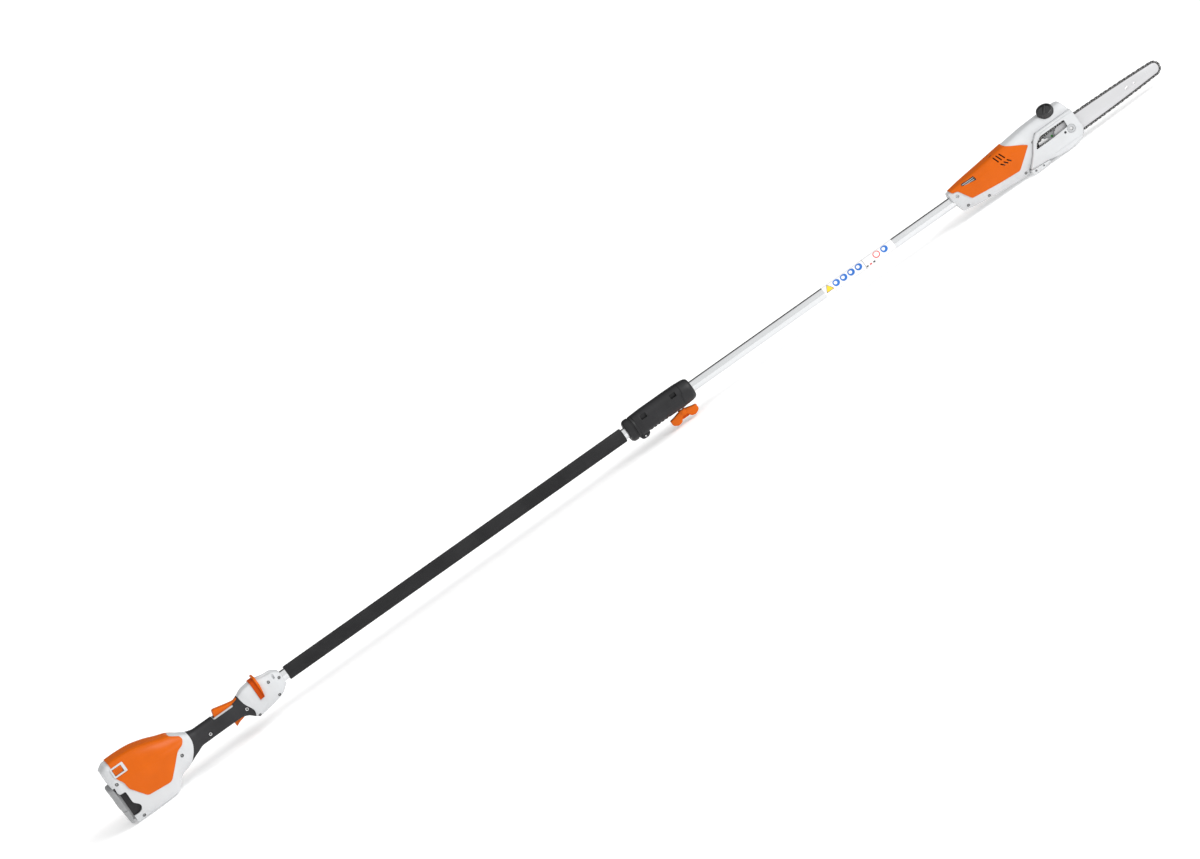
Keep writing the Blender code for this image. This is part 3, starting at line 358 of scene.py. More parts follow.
# each row: slot, full name, darkest and lightest colour, gloss range, and what differs from plain plastic
finishTable = {
    "orange": ("orange_plastic", "orange plastic", (0.56, 0.098, 0.0002), (0.62, 0.110, 0.0003),
               (0.28, 0.38), {"sheen": 0.18}),
    "white": ("white_plastic", "light grey plastic", (0.53, 0.54, 0.55), (0.58, 0.59, 0.60),
              (0.40, 0.52), {"sheen": 0.35}),
    # rim: a darker copy of the light grey plastic; on the lever frame and the slot fins it is painted shade, and
    # the cover nut and oil tank use it as plain grey
    "rim": ("white_plastic", "grey plastic and painted shade", (0.42, 0.43, 0.44), (0.47, 0.48, 0.49),
            (0.42, 0.54), {"sheen": 0.35}),
    # a darker copy of the orange plastic: painted shade on the latch band and in the wing screw recesses
    "shadedOrange": ("orange_plastic", "shaded orange plastic", (0.42, 0.050, 0.0002), (0.50, 0.062, 0.0003),
                   (0.36, 0.46), {"sheen": 0.1}),
    "grey": ("battery_grey", "battery plastic", (0.28, 0.285, 0.29), (0.33, 0.335, 0.34), (0.45, 0.60), {}),
    "black": ("black_plastic", "black plastic", (0.011, 0.011, 0.012), (0.018, 0.018, 0.020),
              (0.38, 0.52), {"bump": 0.25, "sheen": 0.3}),
    "capBlack": ("black_plastic", "cap plastic", (0.012, 0.012, 0.013), (0.020, 0.020, 0.021),
                 (0.20, 0.30), {"bump": 0.2, "sheen": 0.6}),
    "softBlack": ("black_plastic", "grip plastic", (0.014, 0.014, 0.015), (0.022, 0.022, 0.024),
                  (0.48, 0.62), {"grain": 1100.0, "bump": 0.45, "sheen": 0.3}),
    "rubber": ("hose_rubber", "hose rubber", (0.012, 0.012, 0.013), (0.020, 0.020, 0.021),
               (0.55, 0.75), {"bump": 0.4, "sheen": 0.3}),
    "aluminium": ("pole_aluminium", "brushed aluminium", (0.66, 0.67, 0.68), (0.74, 0.75, 0.76),
                  (0.14, 0.24), {"metallic": 1.0, "grain": 900.0, "bump": 0.10, "stretch": (0.04, 1, 1)}),
    "steel": ("bare_steel", "ground steel", 0.60, 0.68,
              (0.28, 0.40), {"metallic": 1.0, "grain": 1200.0, "bump": 0.10, "stretch": (0.1, 1, 1)}),
    "barSteel": ("bare_steel", "bar steel", (0.52, 0.52, 0.53), (0.58, 0.58, 0.59),
                 (0.38, 0.50), {"metallic": 0.5, "grain": 1200.0, "bump": 0.08, "stretch": (0.08, 1, 1)}),
    "chain": ("chain_steel", "oiled chain steel", (0.020, 0.020, 0.021), (0.075, 0.072, 0.070),
              (0.22, 0.45), {"metallic": 0.9, "grain": 1500.0, "bump": 0.3, "blotch": 220.0}),
    "edge": ("chain_steel", "sharpened steel", 0.28, 0.45,
             (0.2, 0.35), {"metallic": 1.0, "grain": 1500.0, "bump": 0.2, "blotch": 200.0}),
    "screw": ("bare_steel", "dark screw steel", 0.12, 0.20,
              (0.35, 0.5), {"metallic": 0.8, "grain": 1500.0, "bump": 0.2}),
    "brass": ("contact_brass", "brass", (0.70, 0.46, 0.16), (0.80, 0.55, 0.22), (0.25, 0.40),
              {"metallic": 1.0}),
    "copper": ("winding_copper", "copper winding", (0.60, 0.25, 0.11), (0.75, 0.36, 0.16),
               (0.25, 0.40), {"metallic": 1.0, "grain": 1500.0, "bump": 0.5, "stretch": (1, 6, 6)}),
    "board": ("board_green", "circuit board", (0.012, 0.10, 0.035), (0.020, 0.16, 0.05),
              (0.3, 0.5), {"grain": 500.0}),
    "green": ("orange_plastic", "green mark", (0.02, 0.30, 0.02), (0.03, 0.38, 0.03), (0.4, 0.5), {}),
    "labelWhite": ("white_plastic", "label white", 0.76, 0.80, (0.30, 0.40), {"bump": 0.03}),
    "labelYellow": ("orange_plastic", "label yellow", (0.85, 0.55, 0.01), (0.90, 0.60, 0.02),
                    (0.30, 0.40), {"bump": 0.03}),
    "labelBlue": ("black_plastic", "label blue", (0.010, 0.13, 0.48), (0.015, 0.16, 0.55),
                  (0.30, 0.40), {"bump": 0.03}),
    "labelRed": ("orange_plastic", "label red", (0.60, 0.012, 0.012), (0.68, 0.02, 0.02),
                 (0.30, 0.40), {"bump": 0.03}),
    "labelInk": ("black_plastic", "label ink", (0.020, 0.020, 0.022), (0.035, 0.035, 0.037),
                 (0.40, 0.50), {"bump": 0.03}),
}
finishes = {}
for key, (_, title, dark, light, rough, extras) in finishTable.items():
    finishes[key] = surface(title, dark, light, rough, **extras)
print("finishes ready:", len(finishes))


def place(piece, finish, body, replaces=(), bevel=0.0):
    # edges softened, moved to the world, given its finish and its body, and the CAD parts it replaces hidden
    if bevel:
        modifier = piece.modifiers.new("soft edges", "BEVEL")
        modifier.width = bevel
        modifier.segments = 2
        modifier.limit_method = "ANGLE"
        modifier.angle_limit = math.radians(38)
        modifier.use_clamp_overlap = True
        piece.data = modifiedMesh(piece)
    piece.data.transform(toWorld)
    piece.data.shade_smooth()
    piece.data.set_sharp_from_angle(angle=sharpAngle)
    piece.data.materials.clear()
    piece.data.materials.append(finishes[finish])
    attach(piece, body)
    if replaces:
        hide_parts(*replaces)


def put(name, shape, finish, body, replaces=(), bevel=0.0):
    place(makeMesh(name, shape), finish, body, replaces, bevel)


# Housing skins: stations of (x, low, widest, high, half width)
def smoothStations(stations, step):
    # stations joined by a smooth curve that doesn't overshoot them
    out = []
    for i in range(len(stations) - 1):
        p0 = stations[max(i - 1, 0)]
        p1 = stations[i]
        p2 = stations[i + 1]
        p3 = stations[min(i + 2, len(stations) - 1)]
        span = p2[0] - p1[0]
        count = max(int(span / step), 1)
        for k in range(count):
            t = k / count
            row = [p1[0] + span * t]
            for c in range(1, 5):
                rise = p2[c] - p1[c]
                most = 3 * abs(rise)
                slope1 = (p2[c] - p0[c]) / max(p2[0] - p0[0], 1e-6) * span
                slope2 = (p3[c] - p1[c]) / max(p3[0] - p1[0], 1e-6) * span
                slope1 = max(min(slope1, most), -most)
                slope2 = max(min(slope2, most), -most)
                row.append((2 * t**3 - 3 * t**2 + 1) * p1[c] + (t**3 - 2 * t**2 + t) * slope1
                    + (-2 * t**3 + 3 * t**2) * p2[c] + (t**3 - t**2) * slope2)
            out.append(tuple(row))
    out.append(tuple(stations[-1]))
    return out


def softCap(share, flat):
    # flattens a section towards its top or bottom without a crease
    width = 2 * (flat - 1)
    if width <= 0 or share < flat - width:
        return share
    return 1 - (flat - 1) * ((flat - share) / width) ** 2


def skinRing(station, outset, power, count, flat=1.08):
    # one section of a skin
    x, low, widest, high, half = station
    points = []
    for i in range(count):
        angle = 2 * math.pi * (i + 0.5) / count
        across = math.cos(angle)
        up = math.sin(angle)
        y = (half + outset) * math.copysign(abs(across) ** (2 / power), across)
        share = softCap(flat * abs(up) ** (2 / power), flat)
        reach = high + outset - widest if up > 0 else widest - low + outset
        points.append(Vector((x, y, widest + math.copysign(reach, up) * share)))
    return points


def skin(stations, outset=0.0, power=3.0, count=112, sculpt=None, ends=0.0):
    # a closed housing skin; ends rounds its two ends
    rings = [skinRing(station, outset, power, count) for station in stations]
    if ends:
        for index, sign in ((0, -1), (-1, 1)):
            station = stations[index]
            extra = []
            for k in range(1, 5):
                a = math.pi / 2 * k / 4
                moved = (station[0] + sign * ends * math.sin(a), *station[1:])
                extra.append(skinRing(moved, outset - ends * (1 - math.cos(a)), power, count))
            rings = list(reversed(extra)) + rings if sign < 0 else rings + extra
    if sculpt:
        rings = [[sculpt(point) for point in ring] for ring in rings]
    return loft(rings)


def stationAt(stations, x):
    for before, after in zip(stations, stations[1:]):
        if before[0] <= x <= after[0]:
            t = (x - before[0]) / max(after[0] - before[0], 1e-6)
            return tuple(before[i] + (after[i] - before[i]) * t for i in range(5))
    return stations[0] if x < stations[0][0] else stations[-1]


def cutStations(stations, xFrom, xTo):
    # the stations between two places, with one at each end
    inner = [row for row in stations if xFrom < row[0] < xTo]
    return [stationAt(stations, xFrom)] + inner + [stationAt(stations, xTo)]


def sideY(stations, x, z, power=3.0, flat=1.08):
    # distance of the skin from the middle plane at (x, z)
    _, low, widest, high, half = stationAt(stations, x)
    reach = high - widest if z > widest else widest - low
    share = min(abs(z - widest) / reach, 0.999)
    width = 2 * (flat - 1)
    if share > flat - width:
        share = flat - width * math.sqrt(max((1 - share) / (flat - 1), 0.0))
    up = min((share / flat) ** (power / 2), 1.0)
    return half * math.sqrt(max(1 - up * up, 0.0)) ** (2 / power)


def inside(box, margin=0.1):
    # keeps a skin's points within a CAD piece's box across and up
    low, high = box

    def keep(point):
        return Vector((point.x, min(max(point.y, low.y + margin), high.y - margin),
            min(max(point.z, low.z + margin), high.z - margin)))
    return keep


def rested(point):
    # keeps a skin's underside on the floor
    return Vector((point.x, point.y, max(point.z, floorZ(point.x) + 0.05)))


def screwShape(radius):
    # a round head with a six-lobed drive
    angles = [2 * math.pi * i / 36 for i in range(36)]
    rings = []
    for x, size, lobes in ((-radius, 0.9, 0), (-radius * 0.4, 1, 0), (-radius * 0.12, 1, 0),
            (0.0, 0.86, 0), (0.0, 0.56, 0.14), (-radius * 0.5, 0.50, 0.14)):
        reach = [radius * size * (1 + lobes * math.cos(6 * a)) for a in angles]
        rings.append([Vector((x, r * math.cos(a), r * math.sin(a))) for r, a in zip(reach, angles)])
    return loft(rings)


def addScrews(shell, name, side, stations, body, look, power=3.0):
    # a counterbore in the shell and a screw head in it, at each spot of (x, z, finish)
    for index, (x, z, finish) in enumerate(look["spots"]):
        y = sideY(stations, x, z, power) - look["deep"]
        drill(shell, x, z, look["hole"], side * y, 80 - y, side)
        shape = turnedTo(screwShape(look["head"]), (0, side, 0), (x, side * (y + look["lift"]), z))
        put(name + str(index), shape, finish, body)


# Battery handle
handleStations = smoothStations([(10, floorZ(10), 0, 63, 46), (26, floorZ(26), 0, 70, 49),
    (60, floorZ(60), 0, 70.5, 50), (95, floorZ(95), 0, 67.5, 50), (128, -71.5, 0, 59, 48),
    (153, -47, 0, 49.5, 44), (177, -40, 0, 41.5, 37), (gripX - 15, -32, 0, 30.5, 30),
    (gripX, -27, 0, 22, 24), (gripX + 18, -21.5, -1, 17.5, 18.5), (controlX - 20, -21, -1, 17.5, 18.5),
    (controlX - 4, -26.5, -1, 22, 21), (controlX + 7, -36, -1, 27.5, 24),
    (controlX + 16, -41, -1, 30, 26), (controlX + 40, -38.5, -1, 32.5, 27),
    (controlEnd - 28.5, -32, -1, 29, 26), (controlEnd - 15.5, -27, -1, 27.5, 24),
    (controlEnd, -15.5, 0, 16, 17.5),], 2.5)
rearSeam = [(gripX, 30), (gripX, 4), (gripX - 11, -18), (gripX - 35, -45)]
frontSeam = [(controlX - 4, 30), (controlX, 4), (controlX + 11, -21), (controlX + 4, -45)]


def between(seamFrom, seamTo, xFrom, xTo, gap=0.2, tall=110):
    # what lies between two seams; an end without a seam is cut straight
    left = [(xFrom, tall), (xFrom, -tall)]
    right = [(xTo, -tall), (xTo, tall)]
    if seamFrom:
        line = [(x + gap, z) for x, z in curved(seamFrom, 6, False)]
        left = [(line[0][0], tall)] + line + [(line[-1][0], -tall)]
    if seamTo:
        line = [(x - gap, z) for x, z in curved(seamTo, 6, False)]
        right = [(line[-1][0], -tall)] + line[::-1] + [(line[0][0], tall)]
    return slab(left + right, -95, 95)


batteryHigh = poleBox("battery_pack")[1]
bayLow, bayHigh = poleBox("battery_bay")
bayWall = 2.6
bodyHalf = bayHigh.y - bayWall
bodySection = (bayLow.z + bayWall, (bayLow.z + bayHigh.z) / 2, bayHigh.z - bayWall, bodyHalf)


def batterySkin(rows, count=96):
    # rows of (x, outset) around the battery's section
    return loft([skinRing((x, *bodySection), outset, 4.0, count) for x, outset in rows])


rearLook = {"deep": 3.8, "lift": 1.2, "head": 3.4, "hole": 4.3, "spots": [(24, 27, "screw"),
    (176, -6.5, "screw"), (36, -66, "screw")]}
fingerOutline = roundOutline([(6, 4), (31, 4), (31, -26), (41, -36), (43, -44), (38, -51.5), (30, -54),
    (6, -54)], 4)
latchLow, latchHigh = poleBox("battery_latch_right")
latchRect = (latchLow.x - 0.6, latchHigh.x + 0.6, latchLow.z - 0.6, latchHigh.z + 0.6)
capRoom = block(-20, bayLow.x + 0.2, -44.2, 44.2, -110, 22)
lobeOutline = [(-20, 40), (6, 40), (8.5, 31), (11.5, 19), (15, 8.5), (17.5, 4.4), (17.5, -110),
    (-20, -110)]
rearStations = [(10, floorZ(10), 0, 61, 39.5), (13, floorZ(13), 0, 63.5, 43),
    (18, floorZ(18), 0, 66.3, 46)]
rearStations += [row for row in handleStations if row[0] > 22]
rearStations = cutStations(smoothStations(rearStations, 2.5), 11.5, gripX + 2)
bayRoom = batterySkin([(-20, 2.9), (bayHigh.x + 0.4, 2.9)], 48)


def latchRoom(side, yFrom):
    return slab(rect(*latchRect), side * yFrom, side * 80)


for sideName, side in sides.items():
    keep = inside(poleBox("rear_housing_" + sideName))
    shell = makeMesh("rear_housing_" + sideName + "_skin", skin(rearStations, ends=1.5, count=128,
        sculpt=lambda point: rested(keep(point))))
    keepWithin(shell, between(None, rearSeam, -10, 0))
    keepWithin(shell, halfSpace(side))
    for room in (capRoom, slab(lobeOutline, -95, 95), bayRoom, slab(fingerOutline,
            side * (bodyHalf + 1.0), side * 80), latchRoom(side, 30)):
        carve(shell, room)
    addScrews(shell, "rear_screw_" + sideName, side, handleStations, "handle", rearLook)
    place(shell, "white", "handle", ["rear_housing_" + sideName])
print("rear housing done")

# orange covers with two creases that run forward along the side
# each crease line is a point (x, z) on it and its slope
coverLook = {"outset": 2.0, "creaseDepth": 1.45, "creaseSlope": 0.20,
    "upperLine": (34.6, 29.5, -0.108), "lowerLine": (56, 1.5, 0.068)}
coverOutline = roundOutline([(34, 100), (33.5, 62), (29.5, 39), (39, 23), (41, 5), (67, -32),
    (122, -37.5), (129, -35), (173.5, 8), (190, 12.5), (197.5, 21), (196, 29), (166, 49), (161, 100)], 5)


def onLine(line, x):
    startX, startZ, slope = line
    return startZ + (x - startX) * slope


def creased(sideName):
    keep = inside(poleBox("side_cover_" + sideName))

    def shape(point):
        upper = onLine(coverLook["upperLine"], point.x)
        lower = onLine(coverLook["lowerLine"], point.x)
        away = max(point.z - upper, lower - point.z, 0.0)
        drop = min(away * coverLook["creaseSlope"], coverLook["creaseDepth"])
        inner = max(abs(point.y) - drop, 0.0) if abs(point.y) > 12 else abs(point.y)
        return keep(Vector((point.x, math.copysign(inner, point.y), point.z)))
    return shape


bezelOutline = roundOutline(rect(latchRect[0] - 3.5, latchRect[1] + 6.5, latchRect[2] - 3.2,
    latchRect[3] + 3.2), 2.5)
coverStations = cutStations(handleStations, 20, gripX - 10)
underCover = skin(cutStations(handleStations, 10.5, gripX), outset=0.35, count=96)
latchLook = {"grooves": 4, "pitch": 4, "width": 1.4, "depth": 0.7}
for sideName, side in sides.items():
    cover = makeMesh("side_cover_" + sideName + "_shell", skin(coverStations, outset=coverLook["outset"],
        sculpt=creased(sideName), count=168))
    keepWithin(cover, slab(coverOutline, side * 0.15, side * 90))
    carve(cover, underCover)
    carve(cover, slab(bezelOutline, side * 20, side * 90))
    place(cover, "orange", "handle", ["side_cover_" + sideName])

    bezel = makeMesh("latch_bezel_" + sideName, slab(bezelOutline, side * 25, side * 51.5))
    keepWithin(bezel, skin(coverStations, outset=2.6, count=128))
    carve(bezel, underCover)
    carve(bezel, latchRoom(side, 20))
    place(bezel, "white", "handle")

    low, high = poleBox("battery_latch_" + sideName)
    outer = max(high.y, -low.y)
    inner = outer - (high.y - low.y)
    latch = makeMesh("battery_latch_" + sideName + "_button", slab(roundOutline(rect(low.x, high.x, low.z,
        high.z), 2.5), side * inner, side * outer, 0, 0.8))
    for k in range(latchLook["grooves"]):
        x = low.x + 5 + k * latchLook["pitch"]
        carve(latch, block(x, x + latchLook["width"], side * (outer - latchLook["depth"]),
            side * (outer + 5), low.z + 2.5, high.z - 2.5))
    place(latch, "orange", sideName + "_latch", ["battery_latch_" + sideName])
print("side covers and latches done")

# battery: a ribbed end cap in front of the plain block that slides into the bay
capOutset = batteryHigh.y - bodyHalf
capLook = {"ribs": 7, "pitch": 5.2, "tall": 22, "taper": 0.24, "lean": 4.5, "end": 12.0}
pack = makeMesh("battery_block", batterySkin([(0.0, capOutset - 3.2), (0.7, capOutset - 1.6),
    (2.2, capOutset - 0.5), (4.5, capOutset - 0.05), (11.2, capOutset - 0.05),
    (capLook["end"], capOutset - 0.8), (capLook["end"], 0), (batteryHigh.x - 1.5, 0),
    (batteryHigh.x, -1.5)]))
for vertex in pack.data.vertices:
    # the cap narrows and leans forward towards its back face
    back = limited((capLook["end"] - vertex.co.x) / capLook["end"])
    vertex.co.y *= 1 - capLook["taper"] * back ** 1.5
    vertex.co.x += back * capLook["lean"] * limited((10 - vertex.co.z) / 75)
carve(pack, block(-1, 12.2, -60, 60, -36.0, -35.0))
place(pack, "grey", "battery", ["battery_pack"])
put("battery_cap_core", batterySkin([(6.5, capOutset - 8), (11.6, capOutset - 1.0)]), "black", "battery")
for k in range(capLook["ribs"]):
    y = (k - (capLook["ribs"] - 1) / 2) * capLook["pitch"]
    put("battery_cap_rib" + str(k), block(0.9, 5.0, y - 0.9, y + 0.9, -31, -31 + capLook["tall"]), "grey",
        "battery", bevel=0.3)

# grip
leverLow, leverHigh = poleBox("lockout_lever")
frameLow, frameHigh = poleBox("lever_frame")
triggerLow, triggerHigh = poleBox("trigger")
leverX = leverLow.x
triggerX = triggerLow.x
leverGap = leverHigh.y + 0.6
triggerGap = triggerHigh.y + 0.6
gripRooms = [block(frameLow.x - 0.3, frameHigh.x + 0.3, -30, 30, frameLow.z - 0.3, 60),
    block(frameHigh.x - 1, leverHigh.x + 0.6, -leverGap, leverGap, 2, 60),
    block(leverX - 1.5, leverHigh.x + 0.6, -leverGap, leverGap, -2, 60),
    block(triggerX - 6, controlX - 3.5, -triggerGap, triggerGap, -60, -2),]
gripLook = {"deep": 1.2, "lift": 1.0, "head": 3.9, "hole": 4.2, "spots": [(gripX + 42, -8.8, "steel"),
    (controlX - 0.5, -9.4, "steel")]}
for sideName, side in sides.items():
    grip = makeMesh("grip_" + sideName + "_skin", skin(cutStations(handleStations, gripX - 40,
        controlX + 14), count=128))
    keepWithin(grip, between(rearSeam, frontSeam, 0, 0))
    keepWithin(grip, halfSpace(side))
    for room in gripRooms:
        carve(grip, room)
    addScrews(grip, "grip_screw_" + sideName, side, handleStations, "handle", gripLook)
    place(grip, "softBlack", "handle", ["grip_" + sideName])
frameOutline = roundOutline(rect(frameLow.x, frameHigh.x, frameLow.y, frameHigh.y), 5)
leverFrame = makeMesh("lever_frame_rim", stacked(frameOutline, [(frameLow.z, 0.01),
    (frameHigh.z - 0.8, 0.01), (frameHigh.z, 0.8)], flat=True))
carve(leverFrame, block(frameLow.x + 2, frameHigh.x + 10, -leverGap, leverGap, 0, 50))
# the frame is in the darker rim grey, painted shade under the lever paddle
place(leverFrame, "rim", "handle", ["lever_frame"])

leverOutline = [(leverX + 1, 6), (leverX, 12), (leverX + 1.2, 20), (leverX + 4, 28.4), (leverX + 9, 28.9),
    (leverX + 25, 25.2), (leverX + 40, 21.6), (leverX + 52, 19.2), (leverX + 58, 19.4),
    (leverHigh.x - 0.3, 20.3), (leverHigh.x - 0.3, 17.2), (leverX + 57, 14.8), (leverX + 54, 4.4),
    (leverX + 47, 4.4), (leverX + 41, 8)]
put("lockout_lever_paddle", slab(roundOutline(leverOutline, 2.2, 3), leverLow.y, leverHigh.y, 2.0),
    "orange", "lever", ["lockout_lever"])
triggerOutline = [(triggerX + 0.3, -32.2), (triggerX + 1, -8), (triggerX + 30.5, -6.2),
    (triggerX + 31.8, -14), (triggerX + 28.5, -22.3), (triggerX + 22, -24.9), (triggerX + 15, -26.3),
    (triggerX + 7, -28.9)]
put("trigger_blade", slab(roundOutline(triggerOutline, 2.0, 3), triggerLow.y, triggerHigh.y, 1.8),
    "orange", "trigger", ["trigger"])
print("grip, lever and trigger done")

# control housing with a hollowed shoulder at the top, an oblong recess and its screws
controlLook = {"deep": 3.0, "lift": 1.4, "head": 3.0, "hole": 3.8, "hollow": 2.6,
    "spots": [(controlEnd - 32.5, 13.1, "screw"), (controlEnd - 7.5, 6.5, "screw"),
    (controlEnd - 27, -25.1, "black"), (controlEnd - 86.5, -37.6, "black")]}
oblong = roundOutline(rect(controlEnd - 20.1, controlEnd - 14.7, 11.5, 25.5), 2.6)


def shouldered(point):
    # lowers the top in front of the latch, on both sides of a thin middle rib
    along = (point.x - controlEnd + 52.5) / 49
    if point.z > 12 and 0 < along < 1:
        rise = limited((point.z - 12) / 14)
        away = limited((abs(point.y) - 2.5) / 4)
        drop = controlLook["hollow"] * math.sin(math.pi * along) * rise * away
        return Vector((point.x, point.y, point.z - drop))
    return point


poleRoom = spun([(controlEnd - 72.5, 12.9), (controlEnd + 17.5, 12.9)], 64)
for sideName, side in sides.items():
    control = makeMesh("control_housing_" + sideName + "_skin", skin(cutStations(handleStations,
        controlX - 10, controlEnd - 2.5), count=144, sculpt=shouldered, ends=2.4))
    keepWithin(control, between(frontSeam, None, 0, controlEnd + 10))
    keepWithin(control, halfSpace(side))
    carve(control, poleRoom)
    carve(control, slab(oblong, side * 18.5, side * 60))
    addScrews(control, "control_screw_" + sideName, side, handleStations, "handle", controlLook)
    place(control, "white", "handle", ["control_housing_" + sideName])

bandLow, bandHigh = poleBox("retaining_latch")
seat = stationAt(handleStations, controlX + 40)[1:]


def bandSkin(rows, count=96):
    # rows of (x, outset) around the housing's section at the latch
    return loft([skinRing((x, *seat), outset, 3.0, count) for x, outset in rows])


flangeX = bandHigh.x - 6
bandParts = {
    # the band is in shaded orange, painted shade behind the flange; the flange is plain orange
    "retaining_latch_band": ([(bandLow.x, 1.4), (bandLow.x + 0.8, 2.3), (flangeX + 0.4, 2.3)],
                             "shadedOrange"),
    "retaining_latch_flange": ([(flangeX + 0.4, 2.3), (flangeX + 0.9, 6.6), (flangeX + 1.6, 7.2),
                                (flangeX + 4.6, 7.2), (bandHigh.x, 6.2)], "orange"),
}
bandEnds = [(bandLow.x - 5, -20), (bandHigh.x + 5, -20), (bandHigh.x + 5, 20), (bandHigh.x, 20),
    (flangeX + 1.0, -7), (bandLow.x - 5, -9)]
for name, (rows, finish) in bandParts.items():
    piece = makeMesh(name, bandSkin(rows))
    carve(piece, bandSkin([(bandLow.x - 10, 0.6), (bandHigh.x + 10, 0.6)], 72))
    carve(piece, block(bandLow.x - 10, bandHigh.x + 10, -60, 60, -80, -13))
    for side in (-1, 1):
        # the band and the flange both run out towards their lower ends
        carve(piece, slab(bandEnds, side * 18, side * 60))
    place(piece, finish, "retaining_latch", ["retaining_latch"] if finish == "orange" else ())
print("control housing done")

# Pole, hose and coupling
hoseLook = {"ribs": 64, "depth": 0.55, "edge": 1.2, "wave": (0.0, 0.0, 0.35, 1.0, 1.0, 0.35), "steps": 12}


def ribbedHose():
    low, high = poleBox("handle_hose")
    count = hoseLook["ribs"] * 6
    inner = poleRadius + 0.3
    outer = high.y
    edge = hoseLook["edge"]
    steps = hoseLook["steps"]
    wave = [hoseLook["depth"] * share for share in hoseLook["wave"]]
    rings = [circle(low.x, inner, count), circle(low.x, outer - edge, count)]
    ribbed = [low.x + edge] + [low.x + (high.x - low.x) * k / steps for k in range(1, steps)] + [high.x
        - edge]
    rings += [circle(x, outer, count, wave) for x in ribbed]
    rings += [circle(high.x, outer - edge, count), circle(high.x, inner, count)]
    return loft(rings, loop=True)


put("handle_hose_sleeve", ribbedHose(), "rubber", "handle", ["handle_hose"])
for node, body in (("lower_tube", "handle"), ("upper_tube", "saw_head")):
    low, high = poleBox(node)
    outer = high.y
    bore = outer - 1.5
    put(node + "_pipe", spun([(low.x, bore + 0.2), (low.x, outer - 0.3), (low.x + 0.3, outer),
        (high.x - 0.3, outer), (high.x, outer - 0.3), (high.x, bore + 0.2), (high.x - 0.3, bore),
        (low.x + 0.3, bore)], 96, True), "aluminium", body, [node])
low, high = poleBox("clamp_sleeve")
sleeveOut = high.y
sleeveRoom = sleeveOut + 0.4
put("clamp_sleeve_pipe", spun([(low.x, poleRadius + 0.4), (low.x, sleeveOut - 0.3),
    (low.x + 0.4, sleeveOut), (high.x - 0.4, sleeveOut), (high.x, sleeveOut - 0.3),
    (high.x, poleRadius + 0.4)], 64, True), "aluminium", "handle", ["clamp_sleeve"])

couplingRadius = poleBox("coupling_shell_right")[1].z
couplingLook = {"stepDepth": 0.9, "waveDepth": 1.3, "wavePitch": 9.8, "count": 160,
    "windows": [shellX + 15.5, shellX + 94], "windowLong": 15}


def collarSeam(z):
    # how far forward the joint with the front collar lies at this height
    return 2.6 * math.tanh((z - 4) / 3.5)


def couplingShape(point):
    # lower half stepped in under a curved crease, and finger waves along the underside
    x, y, z = point
    radius = math.hypot(y, z)
    start = shellX + 14
    t = limited((x - start) / 34)
    crease = 26 - 31 * t * t * (3 - 2 * t)
    step = limited((crease - z) / 1.6 + 0.5)
    wave = 0.5 - 0.5 * math.cos(2 * math.pi * (x - start - 2) / couplingLook["wavePitch"])
    under = limited((-z - 17) / 5) * limited((x - start) / 6) * limited((shellX + 78 - x) / 6)
    front = limited((frontCollarX - 6 - x) / 6)
    back = limited((x - start) / 5)
    smaller = radius - couplingLook["stepDepth"] * step * front * back
    smaller -= couplingLook["waveDepth"] * wave * under
    shift = collarSeam(z) * limited((x - frontCollarX + 22) / 22)
    factor = smaller / max(radius, 1e-6)
    return Vector((x + shift, y * factor, z * factor))


couplingRings = []
for row in smoothStations([(shellX, -couplingRadius + 1, 0, couplingRadius - 1, couplingRadius - 2),
        (shellX + 30, -couplingRadius, 0, couplingRadius, couplingRadius - 1),
        (frontCollarX - 30, -couplingRadius, 0, couplingRadius, couplingRadius - 1),
        (frontCollarX, -couplingRadius + 0.5, 0, couplingRadius - 0.5, couplingRadius - 1.5)], 1.4):
    couplingRings.append([couplingShape(point) for point in skinRing(row, 0.0, 2.4, couplingLook["count"],
        1.0)])
buttonLow, buttonHigh = poleBox("lock_button")
for sideName, side in sides.items():
    shell = makeMesh("coupling_shell_" + sideName + "_body", loft(couplingRings))
    keepWithin(shell, halfSpace(side))
    carve(shell, spun([(couplingX - 73, sleeveOut + 0.3), (couplingEnd + 53.5, sleeveOut + 0.3)], 64))
    for x in couplingLook["windows"]:
        window = roundOutline(rect(x, x + couplingLook["windowLong"], 8.8, 18.8), 1.2)
        carve(shell, slab(window, side * 17.5, side * 60))
    carve(shell, block(buttonLow.x - 0.6, buttonHigh.x + 0.6, buttonLow.y - 0.6, buttonHigh.y + 0.6, -60,
        -10))
    carve(shell, turnedTo(spun([(0, 4.4), (40, 4.4)], 24), (0, 0, -1), (wingX, 0, -10)))
    place(shell, "black", "handle", ["coupling_shell_" + sideName])

